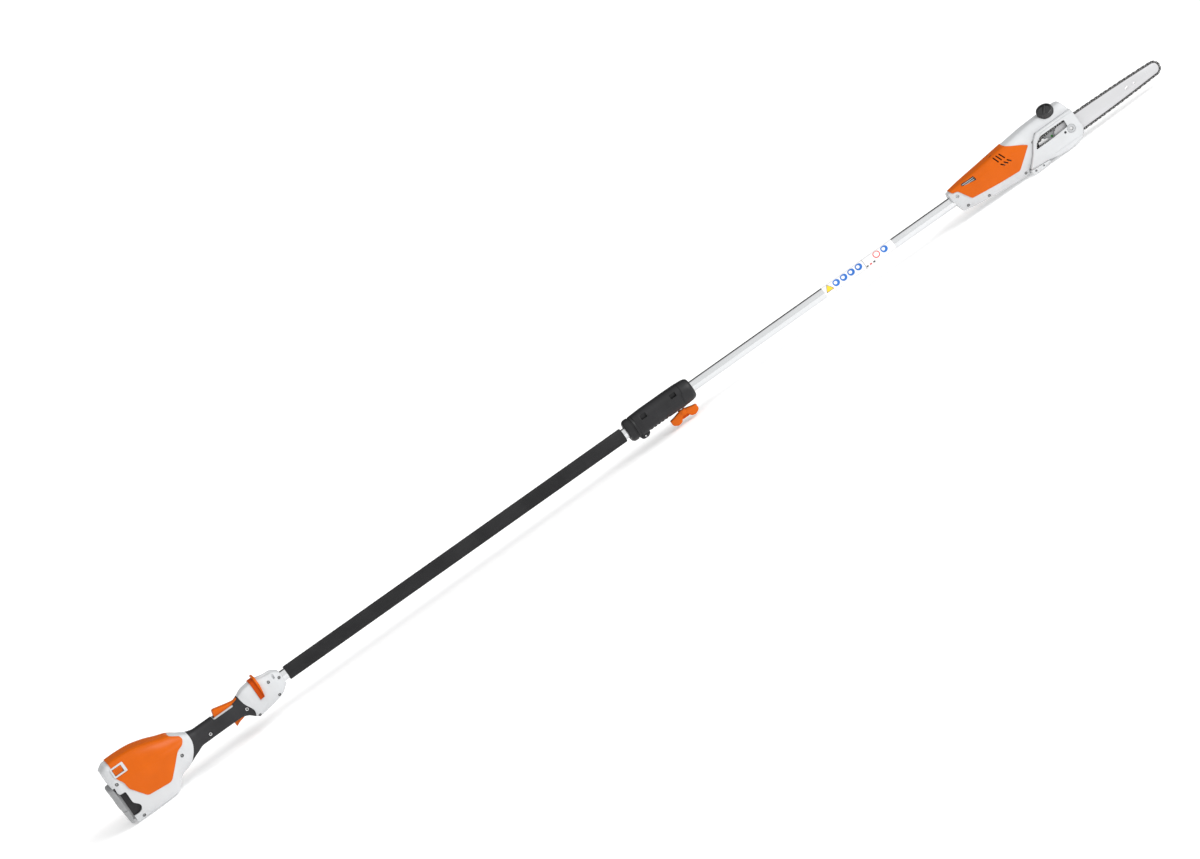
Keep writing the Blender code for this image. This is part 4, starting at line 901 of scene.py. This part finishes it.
collarRadius = couplingRadius - 0.5
rearProfile = [(couplingX, sleeveRoom), (couplingX, collarRadius - 5.5),
    (couplingX + 1.2, collarRadius - 3.6), (couplingX + 4.0, collarRadius - 1.2),
    (couplingX + 7, collarRadius - 0.1), (couplingX + 15.5, collarRadius),
    (couplingX + 16.6, collarRadius - 1.6), (couplingX + 18.6, collarRadius - 1.6),
    (couplingX + 19.6, collarRadius - 0.2), (shellX - 1.4, collarRadius - 0.2),
    (shellX - 0.3, collarRadius - 1.0), (shellX - 0.3, sleeveRoom)]
put("rear_collar_ring", spun(rearProfile, 112, True), "black", "handle", ["rear_collar"])
collarLong = couplingEnd - frontCollarX
frontProfile = [(0.35, sleeveRoom, 1), (0.35, collarRadius - 0.9, 1), (0.9, collarRadius, 1),
    (10, collarRadius - 0.3, 0.5), (18, collarRadius - 1.0, 0), (24, collarRadius - 2.2, 0),
    (28, collarRadius - 4.4, 0), (29.8, collarRadius - 7.0, 0), (collarLong, collarRadius - 8.6, 0),
    (collarLong, sleeveRoom, 0)]
frontRings = []
for x, radius, follow in frontProfile:
    ring = circle(frontCollarX + x, radius, 112)
    frontRings.append([point + Vector((collarSeam(point.z) * follow, 0, 0)) for point in ring])
put("front_collar_ring", loft(frontRings, loop=True), "black", "handle", ["front_collar"])

buttonOutline = roundOutline(rect(buttonLow.x, buttonHigh.x, buttonLow.z, buttonHigh.z), 3.0)
button = makeMesh("lock_button_lug", slab(buttonOutline, buttonLow.y, buttonHigh.y, 1.2))
drill(button, (buttonLow.x + buttonHigh.x) / 2, buttonLow.z + 4.5, 1.6, -4.5, 20, count=20)
place(button, "black", "lock_button", ["lock_button"])

# a lug stands on each side of the lock button, with the head of a cross pin
lugX = buttonLow.x
lugOutline = roundOutline([(lugX - 9, -23), (lugX - 8, -30), (lugX - 3, buttonLow.z),
    (lugX + 9, buttonLow.z), (lugX + 15, -28), (lugX + 16, -23)], 3.5)
for index, side in enumerate((-1, 1)):
    put("lock_button_cheek" + str(index), slab(lugOutline, side * 6.9, side * 9.6, 0.0, 0.6), "black",
        "handle")
    pinHead = turnedTo(spun([(0, 1.9), (1.0, 1.9), (1.4, 1.4)], 24), (0, side, 0),
        (lugX + 2.5, side * 9.0, buttonLow.z + 4.6))
    put("lock_button_pin" + str(index), pinHead, "steel", "handle")

# wing screw: stem, hub and a two-lobed wing with a recess in each face, each recess lined with a shaded orange
# sheet as painted shade
wingHigh = poleBox("wing_screw")[1]
wingTop = -couplingRadius - 1.0
wingHalf = [(0, -3), (10, -3), (16, -4.4), (24, -6.6), (33.2, -8.4), (34, -12), (33.6, -19.4),
    (29, -23.6), (23, -26.3), (16, -25.4), (11, -22.6), (8.5, -20)]
wingRing = [(wingX + x, wingTop + z) for x, z in wingHalf]
wingRing += [(wingX - x, wingTop + z) for x, z in reversed(wingHalf[1:])]
wing = makeMesh("wing_screw_knob", slab(curved(wingRing, 3), -6, 6, 2.0))
hub = spun([(0, 6.4), (0.7, 8.4), (2, 9), (8, 8.9), (11, 8.2), (12, 6.6)], 48)
put("wing_screw_hub", turnedTo(hub, (0, 0, -1), (wingX, 0, wingTop)), "orange", "wing_screw")
recess = roundOutline(rect(wingX - 7.8, wingX + 8.2, wingTop - 20.6, wingTop - 14.6), 1.6)
for side in (-1, 1):
    carve(wing, slab(recess, side * 3.0, side * 20))
    # a thin shaded orange sheet in each recess is painted shade
    put("wing_screw_recess_shade" + str(side + 1), slab(insetOutline(recess, 0.2), side * 3.2, side * 3.9),
        "shadedOrange", "wing_screw")
place(wing, "orange", "wing_screw", ["wing_screw"])
stemLong = wingHigh.z - wingTop
stem = spun([(-0.2, 4.0), (stemLong - 0.6, 4.0), (stemLong, 3.4)], 32)
put("wing_screw_thread", turnedTo(stem, (0, 0, 1), (wingX, 0, wingTop)), "steel", "wing_screw")
print("pole and coupling done")


# Head; its outlines are measured forward from the head's rear end
def fromHead(outline):
    return [(headX + x, z) for x, z in outline]


headStations = smoothStations([(headX, -26, 0, 22.5, 21.5), (headX + 12, -29, 4, 24, 25),
    (headX + 40, -34, 10, 27.5, 29), (headX + 100, -41, 15, 33.5, 33), (headX + 152, -45, 18, 39.5, 34),
    (headX + 200, -48, 18, 45.5, 33), (headX + 230, floorZ(headX + 230), 18, 48, 31.5),
    (headX + 305, floorZ(headX + 305), 18, 50, 30), (headX + 318, -46, 15, 48, 29),
    (headEnd, -40, 0, 16, 27)], 2.5)
headLook = {"power": 2.6, "deep": 2.6, "lift": 1.2, "head": 3.0, "hole": 3.9,
    "spots": [(headX + 14, 9.8, "steel"), (headX + 23.8, -21.5, "screw"), (headX + 74.5, -30.4, "screw"),
    (headX + 169.3, -36.5, "screw"), (headX + 217.9, 12.7, "screw")]}
motorLook = {"outset": 2.0, "ridgeSlope": 0.09, "ridgeDepth": 1.4, "ridgeLine": (headX + 25, 2.0, 0.108)}
recessOutline = fromHead([(230.5, 27.6), (340, 27.6), (340, -70), (177.5, -70), (178.5, -35.5),
    (201.2, -9.7), (217.2, 15.3)])
rearCut = fromHead([(-20, 6), (0, 6), (12, -30), (12, -60), (-20, -60)])
motorOutline = roundOutline(fromHead([(7, 70), (7, 20.5), (20, 19), (39, -12), (110, -19.5), (160, -23),
    (205.5, 15), (193, 23.7), (154, 45), (150, 70)]), 4)
capPlace = jointPlace("oil_cap_turn")
capAxis = (toPole.to_3x3() @ Vector(joints["oil_cap_turn"]["axis"])).normalized()


def ridged(sideName):
    # one ridge runs forward along each motor cover
    keep = inside(poleBox("motor_cover_" + sideName))

    def shape(point):
        ridge = onLine(motorLook["ridgeLine"], point.x)
        drop = min(abs(point.z - ridge) * motorLook["ridgeSlope"], motorLook["ridgeDepth"])
        fade = limited((abs(point.y) - 12) / 6)
        return keep(Vector((point.x, math.copysign(abs(point.y) - drop * fade, point.y), point.z)))
    return shape


def slanted(x0, z0, x1, z1, width):
    # a slot from (x0, z0) to (x1, z1)
    a, b = Vector((x0, z0)), Vector((x1, z1))
    along = (b - a).normalized() * width * 0.5
    across = Vector((-along.y, along.x))
    return roundOutline([tuple(a + across), tuple(a - across), tuple(b - across), tuple(b + across)],
        width * 0.4, 3)


ventLook = {"count": 3, "width": 2.9}
vents = [slanted(headX + 125.4 + 7.6 * k, 35.5, headX + 129.8 + 8.4 * k, 21.5, ventLook["width"])
    for k in range(ventLook["count"])]
vents += [slanted(headX + 130.4 + 8.6 * k, 16.4, headX + 138.4 + 8.6 * k, 7.6, ventLook["width"])
    for k in range(ventLook["count"])]
ventWell = roundOutline(fromHead([(120, 39), (148, 39), (161, 6), (134, 6)]), 2)
slotWindow = roundOutline(fromHead([(33, 22.6), (68.5, 17.8), (67, 27.6), (36, 25.8)]), 1.4)
power = headLook["power"]
for sideName, side in sides.items():
    shell = makeMesh("head_housing_" + sideName + "_skin", skin(cutStations(headStations, headX + 1.5,
        headEnd - 2.5), power=power, count=144, ends=2.4, sculpt=rested))
    keepWithin(shell, halfSpace(side))
    carve(shell, slab(rearCut, -90, 90))
    if side < 0:
        carve(shell, slab(recessOutline, -90, padY + 0.3))
        drill(shell, driveX, driveZ, 9.3, -14, 20, count=40)
        drill(shell, studX, driveZ, 4.3, -8)
        drill(shell, tensionX, driveZ, 3.3, -9)
    carve(shell, spun([(headX - 10, 12.9), (headX + 58.3, 12.9)], 64))
    carve(shell, turnedTo(spun([(-0.3, 20.1), (60, 20.1)], 64), capAxis, capPlace))
    carve(shell, turnedTo(spun([(-18, 12.3), (1, 12.3)], 40), capAxis, capPlace))
    carve(shell, slab(ventWell, side * 12, side * 80))
    carve(shell, slab(insetOutline(slotWindow, -1.5), side * 21, side * 80))
    addScrews(shell, "head_screw_" + sideName, side, headStations, "saw_head", headLook, power)
    place(shell, "white", "saw_head", ["head_housing_" + sideName])

    cover = makeMesh("motor_cover_" + sideName + "_shell", skin(cutStations(headStations, headX + 2,
        headX + 210), motorLook["outset"], power, 168, sculpt=ridged(sideName)))
    keepWithin(cover, slab(motorOutline, side * 0.15, side * 90))
    carve(cover, skin(cutStations(headStations, headX + 1, headX + 212), 0.35, power, 96))
    for vent in vents + [slotWindow]:
        carve(cover, slab(vent, side * 8, side * 80))
    place(cover, "orange", "saw_head", ["motor_cover_" + sideName])
    # black sheets behind the vents and the slot window are painted shade in these openings
    put("vent_shade_sheet_" + sideName, slab(insetOutline(ventWell, 0.4), side * 11, side * 13), "black",
        "saw_head")
    put("slot_shade_sheet_" + sideName, slab(insetOutline(slotWindow, -1.2), side * 21.2, side * 22.2), "black",
        "saw_head")
    # the fins inside the slot window are in the darker rim grey, painted shade within the slot
    for k in range(2):
        z = 20.6 + 3.0 * k
        y = sideY(headStations, headX + 50, z, power)
        tip = z - 1.2 + 0.8 * k
        fin = fromHead([(40 - 4 * k, z), (66.5, tip), (66.5, tip + 1.6), (40 - 4 * k, z + 1.2)])
        put("slot_fin_" + sideName + str(k), slab(fin, side * 22, side * (y - 1.0)), "rim", "saw_head")
print("head housing done")

# oil cap: fluted rim and a raised grip across the top
oilLook = {"radius": 19.5, "tall": 12.0, "flutes": 40, "fluteDepth": 0.8, "gripHalf": 3.2,
    "gripReach": 14.5, "dish": 3.0}
capRadius = oilLook["radius"]
capTop = oilLook["tall"]
dishTop = capTop - oilLook["dish"]
capRings = []
for x, radius, flute in ((0.0, capRadius - 1.0, 0), (0.5, capRadius - 0.1, 0), (2.0, capRadius - 0.05, 0),
        (2.6, capRadius, 1), (capTop - 2.4, capRadius - 0.2, 1), (capTop - 1.0, capRadius - 0.8, 0.5),
        (capTop - 0.2, capRadius - 2.0, 0), (capTop, capRadius - 3.2, 0), (capTop - 0.3, capRadius - 4.2, 0),
        (dishTop, capRadius - 5.0, 0), (dishTop, 3.0, 0)):
    wave = [oilLook["fluteDepth"] * share * flute for share in (0.0, 0.35, 1.0, 0.35)]
    capRings.append(circle(x, radius, oilLook["flutes"] * 4, wave))
put("oil_cap_knob", turnedTo(loft(capRings), capAxis, capPlace), "capBlack", "oil_cap", ["oil_cap"])
gripOutline = roundOutline(rect(-oilLook["gripReach"], oilLook["gripReach"], -oilLook["gripHalf"],
    oilLook["gripHalf"]), 3)
gripRings = []
for x, inset in ((dishTop - 0.1, 0.0), (capTop - 0.8, 0.0), (capTop - 0.1, 0.9)):
    ring = insetOutline(gripOutline, inset) if inset else gripOutline
    gripRings.append([Vector((x, a, b)) for a, b in ring])
put("oil_cap_grip", turnedTo(loft(gripRings), capAxis, capPlace), "capBlack", "oil_cap")

# sprocket cover, hook, nut and stud
plateOutline = roundOutline(fromHead([(231, 27), (327, 27), (329, -26), (315, -41), (282, -47),
    (250, -44.5), (227, -38.5), (180, -35.5), (202, -10), (218, 15)]), 6)
pocketOutline = fromHead([(232.5, 24.7), (308, 24.7), (308, 21), (350, 21), (350, -38), (313, -38.5),
    (282, -44.7), (250, -42), (227, -36), (186, -33), (204.5, -11), (220, 14)])
windowOutline = roundOutline(fromHead([(214.5, -4), (222, 8), (238, 16.8), (301, 16.8), (301, -1),
    (255, -4)]), 3)
seamLine = fromHead([(226, 10.5), (240, 20.4), (246, 22), (335, 22), (335, 23), (245.5, 23), (239, 21.3),
    (225, 11.2)])
lowerLine = fromHead([(246, -34), (335, -34), (335, -34.9), (246, -34.9)])
cover = makeMesh("sprocket_cover_plate", slab(plateOutline, coverFace, padY, 2.2, 0))
carve(cover, slab(pocketOutline, coverFace + 2.3, 10))
carve(cover, slab(windowOutline, coverFace - 10, coverFace + 10))
drill(cover, studX, driveZ, 9.8, coverFace + 10, count=48)
drill(cover, tensionX, driveZ, 3.0, coverFace + 10)
carve(cover, slab(seamLine, coverFace - 5, coverFace + 0.7))
carve(cover, slab(lowerLine, coverFace - 5, coverFace + 0.5))
place(cover, "white", "cover", ["sprocket_cover"])
low, high = poleBox("cover_nut")
nutRadius = high.x - (low.x + high.x) / 2
put("cover_nut_flange", turnedTo(spun([(0, 4.3), (0, nutRadius - 0.1), (3, nutRadius),
    (7.2, nutRadius - 0.1), (8.2, nutRadius - 0.9), (8.3, 6.6), (8.9, 6.2), (8.9, 4.3)], 64, True),
    (0, -1, 0), (studX, high.y, driveZ)), "rim", "nut", ["cover_nut"])
low, high = poleBox("bar_stud")
studLook = {"radius": 3.9, "depth": 0.35, "pitch": 0.6}
studLong = high.y - low.y
studProfile = [(0, studLook["radius"])]
for k in range(int((studLong - 1.6) / studLook["pitch"])):
    studProfile.append((0.6 + k * studLook["pitch"], studLook["radius"] - studLook["depth"] * (k % 2)))
studProfile += [(studLong - 0.8, studLook["radius"]), (studLong, 3.2)]
put("bar_stud_thread", turnedTo(spun(studProfile, 28), (0, -1, 0), (studX, high.y, driveZ)), "steel",
    "saw_head", ["bar_stud"])
low, high = poleBox("branch_hook")
hookOutline = roundOutline(fromHead([(179.5, -36.2), (226.5, -39.2), (228.5, -44), (205, -48.5),
    (184, -49), (179.5, -46)]), 2.5)
hook = makeMesh("branch_hook_plate", slab(hookOutline, low.y, high.y, 1.2, 0.5))
for x, z, radius in ((189, -42, 2.8), (210, -42.4, 2.3)):
    drill(hook, headX + x, z, radius, low.y + 5, 20)
place(hook, "white", "saw_head", ["branch_hook"])
put("bar_green_mark", turnedTo(spun([(0, 2.4), (1.0, 2.4), (1.5, 1.9)], 28), (0, -1, 0),
    (studX - 42.5, padY + 0.2, -2.5)), "green", "saw_head")
print("sprocket cover done")

# Guide bar: two side plates with a groove all round between them
barLow, barHigh = poleBox("guide_bar")
rootX = barLow.x
yNear, yFar = barLow.y, barHigh.y
barY = (yNear + yFar) / 2
barLook = {"rootHalf": 18.5, "noseRadius": 12.0, "plate": 1.0, "groove": 4.6, "slotHalf": 4.3,
    "rim": 0.35}


def barEdge(xFrom, xTo, side, outset, steps):
    # points along one long edge; the bar narrows towards its nose
    points = []
    for i in range(steps + 1):
        x = xFrom + (xTo - xFrom) * i / steps
        narrowing = (barLook["noseRadius"] - barLook["rootHalf"]) * limited((x - rootX) / (noseX
            - rootX)) ** 2.2
        points.append((x, driveZ + side * (barLook["rootHalf"] + narrowing + outset)))
    return points


def arc(x, radius, start, end, steps):
    points = []
    for i in range(steps + 1):
        a = math.radians(start + (end - start) * i / steps)
        points.append((x + radius * math.cos(a), driveZ + radius * math.sin(a)))
    return points


rootCorner = [(22, 18.4), (10, 18.5), (0, 10), (0, -10), (10, -18.5), (22, -18.4)]
rootCorner = roundOutline([(rootX + x, driveZ + z) for x, z in rootCorner], 3)[5:-5]
barRing = rootCorner + barEdge(rootX + 24, noseX, -1, 0, 24)
barRing += arc(noseX, barLook["noseRadius"], -90, 90, 24)[1:-1] + barEdge(noseX, rootX + 24, 1, 0, 24)
plate = barLook["plate"]
bar = makeMesh("guide_bar_plates", stacked(barRing, [(yNear, barLook["rim"]), (yNear + 0.25, 0.0),
    (yNear + plate, 0.0), (yNear + plate, barLook["groove"]), (yFar - plate, barLook["groove"]),
    (yFar - plate, 0.0), (yFar - 0.25, 0.0), (yFar, barLook["rim"])]))
slotHalf = barLook["slotHalf"]
studSlot = arc(studX, slotHalf, 90, 270, 12) + arc(studX + 8, slotHalf, -90, 90, 12)
carve(bar, slab(studSlot, yNear - 5, yFar + 5))
drill(bar, tensionX, driveZ, 4.0, yFar + 5, 30, count=28)
drill(bar, noseX - 53.6, driveZ - 1, 2.3, yFar + 5, 30, count=28)
carve(bar, slab(slanted(noseX - 77.7, driveZ - 1.6, noseX - 69.2, driveZ + 1.4, 4.2), yNear - 5,
    yFar + 5))
carve(bar, turnedTo(spun([(-0.75, 13.6), (0.75, 13.6)], 64), (0, 1, 0), (noseX, barY, driveZ)))
place(bar, "barSteel", "bar", ["guide_bar"])
rivetHalf = (yFar - yNear) / 2 + 0.12
for k in range(4):
    a = math.radians(45 + 90 * k)
    spot = (noseX - 17 + 4 * math.cos(a), barY, driveZ + 4 * math.sin(a))
    put("nose_rivet" + str(k), turnedTo(spun([(-rivetHalf, 1.1), (rivetHalf, 1.1)], 20), (0, 1, 0), spot),
        "steel", "bar")

# Saw chain, link by link round the bar and the drive sprocket
chainLook = {"links": 112, "rivetLine": 2.7, "strap": 0.75, "drive": 1.1, "strapHeight": 2.65,
    "topPlate": 2.85, "gauge": 2.4, "tang": 5.4}
sprocketRadius = poleBox("drive_sprocket")[1].x - driveX


def evenPoints(path, count):
    # points at even spacing around a closed path
    closed = [Vector(point) for point in path] + [Vector(path[0])]
    lengths = [0.0]
    for a, b in zip(closed, closed[1:]):
        lengths.append(lengths[-1] + (b - a).length)
    points = []
    k = 0
    for i in range(count):
        want = lengths[-1] * i / count
        while lengths[k + 1] < want:
            k += 1
        t = (want - lengths[k]) / (lengths[k + 1] - lengths[k])
        points.append(closed[k].lerp(closed[k + 1], t))
    return points


line = chainLook["rivetLine"]
chainPath = barEdge(rootX + 10, noseX, -1, line, 80)
chainPath += arc(noseX, barLook["noseRadius"] + line, -90, 90, 30)[1:-1]
chainPath += barEdge(noseX, rootX + 10, 1, line, 80) + arc(driveX, sprocketRadius + line, 95, 265, 40)
rivets = evenPoints(chainPath, chainLook["links"])


def oval(length, half):
    points = []
    for x, turn in ((0, 0.5), (length, -0.5)):
        for k in range(9):
            a = math.pi * turn + math.pi * k / 8
            points.append((x + half * math.cos(a), half * math.sin(a)))
    return points


straps = []
drives = []
cutters = []
pins = []
for i, start in enumerate(rivets):
    step = rivets[(i + 1) % len(rivets)] - start
    pitch = step.length
    along = step.normalized()
    out = Vector((along.y, -along.x))

    def laid(outline, yFrom, yTo):
        # an outline of (along the link, outward) made into a plate
        return slab([tuple(start + along * t + out * n) for t, n in outline], barY + yFrom, barY + yTo)

    half = chainLook["drive"] / 2
    inner = half + 0.06
    outer = inner + chainLook["strap"]
    kind = i % 8
    if i % 2 == 0:
        deep = chainLook["tang"] if rootX + 24 < (start + along * pitch / 2).x < noseX - 8 else 2.1
        drives.append(laid([(-1.8, 1.6), (-1.9, -1.4), (pitch * 0.30, -deep), (pitch * 0.62, -deep),
            (pitch + 1.9, -1.4), (pitch + 1.8, 1.6)], -half, half))
    elif kind in (3, 7):
        strap = oval(pitch, chainLook["strapHeight"])
        straps += [laid(strap, -outer, -inner), laid(strap, inner, outer)]
    else:
        side = -1 if kind == 1 else 1
        top = chainLook["topPlate"]
        gauge = chainLook["gauge"]
        straps.append(laid(oval(pitch, chainLook["strapHeight"]), -side * outer, -side * inner))
        cutters.append(laid([(-2.0, -1.9), (pitch + 2.2, -1.9), (pitch + 2.6, 0.4), (pitch + 2.2, 1.6),
            (pitch + 1.7, gauge), (pitch + 0.6, gauge - 0.1), (pitch - 0.4, 0.9), (pitch - 1.6, 0.7),
            (pitch - 2.0, top), (-2.6, top - 0.7), (-2.3, 0.0)], side * inner, side * outer))
        cutters.append(laid([(-2.6, top - 1.0), (pitch - 1.9, top - 0.35), (pitch - 1.6, top + 0.1),
            (-2.6, top - 0.35)], side * (outer + 0.25), -side * 0.5))
    pins.append(turnedTo(spun([(-2.05, 0.9), (-1.9, 1.25), (1.9, 1.25), (2.05, 0.9)], 10), (0, 1, 0),
        (start.x, barY, start.y)))
put("saw_chain_straps", joined(straps), "chain", "bar", ["saw_chain"])
put("saw_chain_drive_links", joined(drives), "chain", "bar")
put("saw_chain_cutters", joined(cutters), "chain", "bar")
put("saw_chain_rivets", joined(pins), "edge", "bar")
print("bar and chain done:", len(straps), "straps,", len(cutters) // 2, "cutters")

# Label band on the upper pole: plain coloured shapes, no lettering
labelLook = {"from": headX - 346, "long": 187, "sheet": 0.12, "rise": 6.5, "disc": 8.4}
labelX = labelLook["from"]
rise = labelLook["rise"]
disc = labelLook["disc"]
labelRadius = poleRadius + 0.02
markRadius = labelRadius + labelLook["sheet"]


def onPole(name, extent, sFrom, sTo, thick, finish, steps=24, radius=markRadius):
    # a thin curved sheet on the near side; extent gives its ends along x at each arc length
    rings = []
    for k in range(steps + 1):
        s = sFrom + (sTo - sFrom) * k / steps
        a = s / radius
        ring = []
        xFrom, xTo = extent(s)
        for x, r in ((xFrom, radius), (xTo, radius), (xTo, radius + thick), (xFrom, radius + thick)):
            ring.append(Vector((x, -r * math.cos(a), r * math.sin(a))))
        rings.append(ring)
    put("pole_label_" + name, loft(rings), finish, "saw_head")


def discMark(name, x, s, size, thick, finish):
    def extent(t):
        half = max(math.sqrt(max(size ** 2 - (t - s) ** 2, 0.0)), 0.05)
        return labelX + x - half, labelX + x + half
    onPole(name, extent, s - size, s + size, thick, finish, 36)


def triangleMark(name, x, sLow, sHigh, half, thick, finish):
    def extent(t):
        width = max(half * (sHigh - t) / (sHigh - sLow), 0.05)
        return labelX + x - width, labelX + x + width
    onPole(name, extent, sLow, sHigh, thick, finish)


bandRings = []
for x in (labelX, labelX + labelLook["long"]):
    angles = [math.radians(-64 + 180 * k / 40) for k in range(41)]
    ring = [(a, labelRadius) for a in angles] + [(a, markRadius) for a in reversed(angles)]
    bandRings.append([Vector((x, -r * math.cos(a), r * math.sin(a))) for a, r in ring])
put("pole_label_band", loft(bandRings), "labelWhite", "saw_head")
triangleMark("triangle_edge", 13.5, rise - 8, rise + 9.5, 10, 0.05, "labelInk")
triangleMark("triangle", 13.5, rise - 7, rise + 7.4, 8.3, 0.1, "labelYellow")
for index, x in enumerate((34, 54, 74, 94, 163)):
    discMark("disc" + str(index), x, rise, disc, 0.05, "labelBlue")
    discMark("dot" + str(index), x - 1.5, rise + 0.5, 4.0, 0.1, "labelWhite")
discMark("ring", 142, rise, disc, 0.05, "labelRed")
discMark("ring_inside", 142, rise, 6.2, 0.1, "labelWhite")
onPole("line", lambda s: (labelX + 107.4, labelX + 108.2), -13, 24, 0.05, "labelInk", 30)
for index, x in enumerate((109, 118, 127)):
    onPole("dash" + str(index), lambda s: (labelX + x, labelX + x + 5), -7, -3, 0.05,
        "labelRed" if index == 1 else "labelInk", 6)
print("label band done")

# Inner pieces keep their CAD shape and get a finish
innerPieces = {
    "black": ["battery_bay", "trigger_switch", "lower_cable", "upper_cable", "socket_connector",
              "plug_connector"],
    "steel": ["lever_pin", "trigger_pin", "motor_rotor", "motor_shaft", "motor_bearing", "bevel_pinion",
              "sprocket_shaft", "gear_wheel", "sprocket_bearing", "drive_sprocket", "nose_sprocket",
              "tension_screw"],
    "brass": ["contact_block"],
    "board": ["control_board"],
    "copper": ["motor_stator"],
    "rim": ["oil_tank"],
}
for finish, nodes in innerPieces.items():
    for node in nodes:
        mesh = frame["nodes"][node].data
        mesh.materials.clear()
        mesh.materials.append(finishes[finish])

# Floor, light and camera
stageLook = {"floor": 60.0, "floorDrop": 0.0004, "floorGlow": 0.30, "world": 1.0, "behind": 0.10,
    "keyPower": 5000.0, "keySize": 16.0, "keyPlace": (19.0, -15.5, 18.6)}
reach = stageLook["floor"]
floorMesh = bpy.data.meshes.new("studio_floor")
floorMesh.from_pydata([(x, y, -stageLook["floorDrop"]) for x, y in rect(-reach, reach, -reach, reach)],
    [], [(0, 1, 2, 3)])
floor = bpy.data.objects.new("studio_floor", floorMesh)
bpy.context.collection.objects.link(floor)
floorFinish = surface("studio floor", 0.90, 0.92, (0.7, 0.8), bump=0.0, grain=3.0, blotch=0.5)
floorShader = floorFinish.node_tree.nodes["Principled BSDF"]
floorShader.inputs["Emission Color"].default_value = (1.0, 1.0, 1.0, 1.0)
floorShader.inputs["Emission Strength"].default_value = stageLook["floorGlow"]
floorMesh.materials.append(floorFinish)

# the sky is white, but dark beyond the saw, which gives the metal its edges
world = bpy.data.worlds.new("studio")
bpy.context.scene.world = world
world.use_nodes = True
worldNodes = world.node_tree.nodes
worldLinks = world.node_tree.links
direction = worldNodes.new("ShaderNodeTexCoord")
split = worldNodes.new("ShaderNodeSeparateXYZ")
shade = worldNodes.new("ShaderNodeValToRGB")
for element, position, grey in zip(shade.color_ramp.elements, (0.30, 0.46), (1.0, stageLook["behind"])):
    element.position = position
    element.color = (grey, grey, grey, 1)
worldLinks.new(direction.outputs["Generated"], split.inputs["Vector"])
worldLinks.new(split.outputs["Y"], shade.inputs["Fac"])
worldLinks.new(shade.outputs["Color"], worldNodes["Background"].inputs["Color"])
worldNodes["Background"].inputs["Strength"].default_value = stageLook["world"]

keyLight = bpy.data.lights.new("key", "AREA")
keyLight.shape = "SQUARE"
keyLight.size = stageLook["keySize"]
keyLight.energy = stageLook["keyPower"]
lamp = bpy.data.objects.new("key", keyLight)
lamp.location = stageLook["keyPlace"]
lamp.rotation_euler = (-Vector(stageLook["keyPlace"])).to_track_quat("-Z", "Y").to_euler()
bpy.context.collection.objects.link(lamp)

# the camera stands far off, a little behind the middle and above, and is rolled
# so that the pole climbs to the upper right
cameraLook = {"swing": 6.0, "climb": 14.0, "roll": 35.267, "away": 19.0, "lens": 261.9,
    "target": (1328.4, 0.0, 40.0)}
swing = math.radians(cameraLook["swing"])
climb = math.radians(cameraLook["climb"])
roll = math.radians(cameraLook["roll"])
turnOnly = toWorld.to_3x3()
turnOnly = Matrix([row.normalized() for row in turnOnly.transposed()]).transposed()
away = Vector((-math.sin(swing), -math.cos(swing) * math.cos(climb), math.cos(swing) * math.sin(climb)))
alongView = (Vector((1, 0, 0)) - away * away.x).normalized()
acrossView = away.cross(alongView)
rightAxis = alongView * math.cos(roll) - acrossView * math.sin(roll)
upAxis = alongView * math.sin(roll) + acrossView * math.cos(roll)
cameraData = bpy.data.cameras.new("camera")
cameraData.lens = cameraLook["lens"]
cameraData.sensor_width = 36.0
cameraData.clip_end = 200.0
camera = bpy.data.objects.new("camera", cameraData)
bpy.context.collection.objects.link(camera)
turn = turnOnly @ Matrix((rightAxis, upAxis, away)).transposed()
spot = toWorld @ Vector(cameraLook["target"]) + (turnOnly @ away) * cameraLook["away"]
camera.matrix_world = Matrix.Translation(spot) @ turn.to_4x4()
bpy.context.scene.camera = camera
bpy.context.scene.view_settings.view_transform = "Standard"
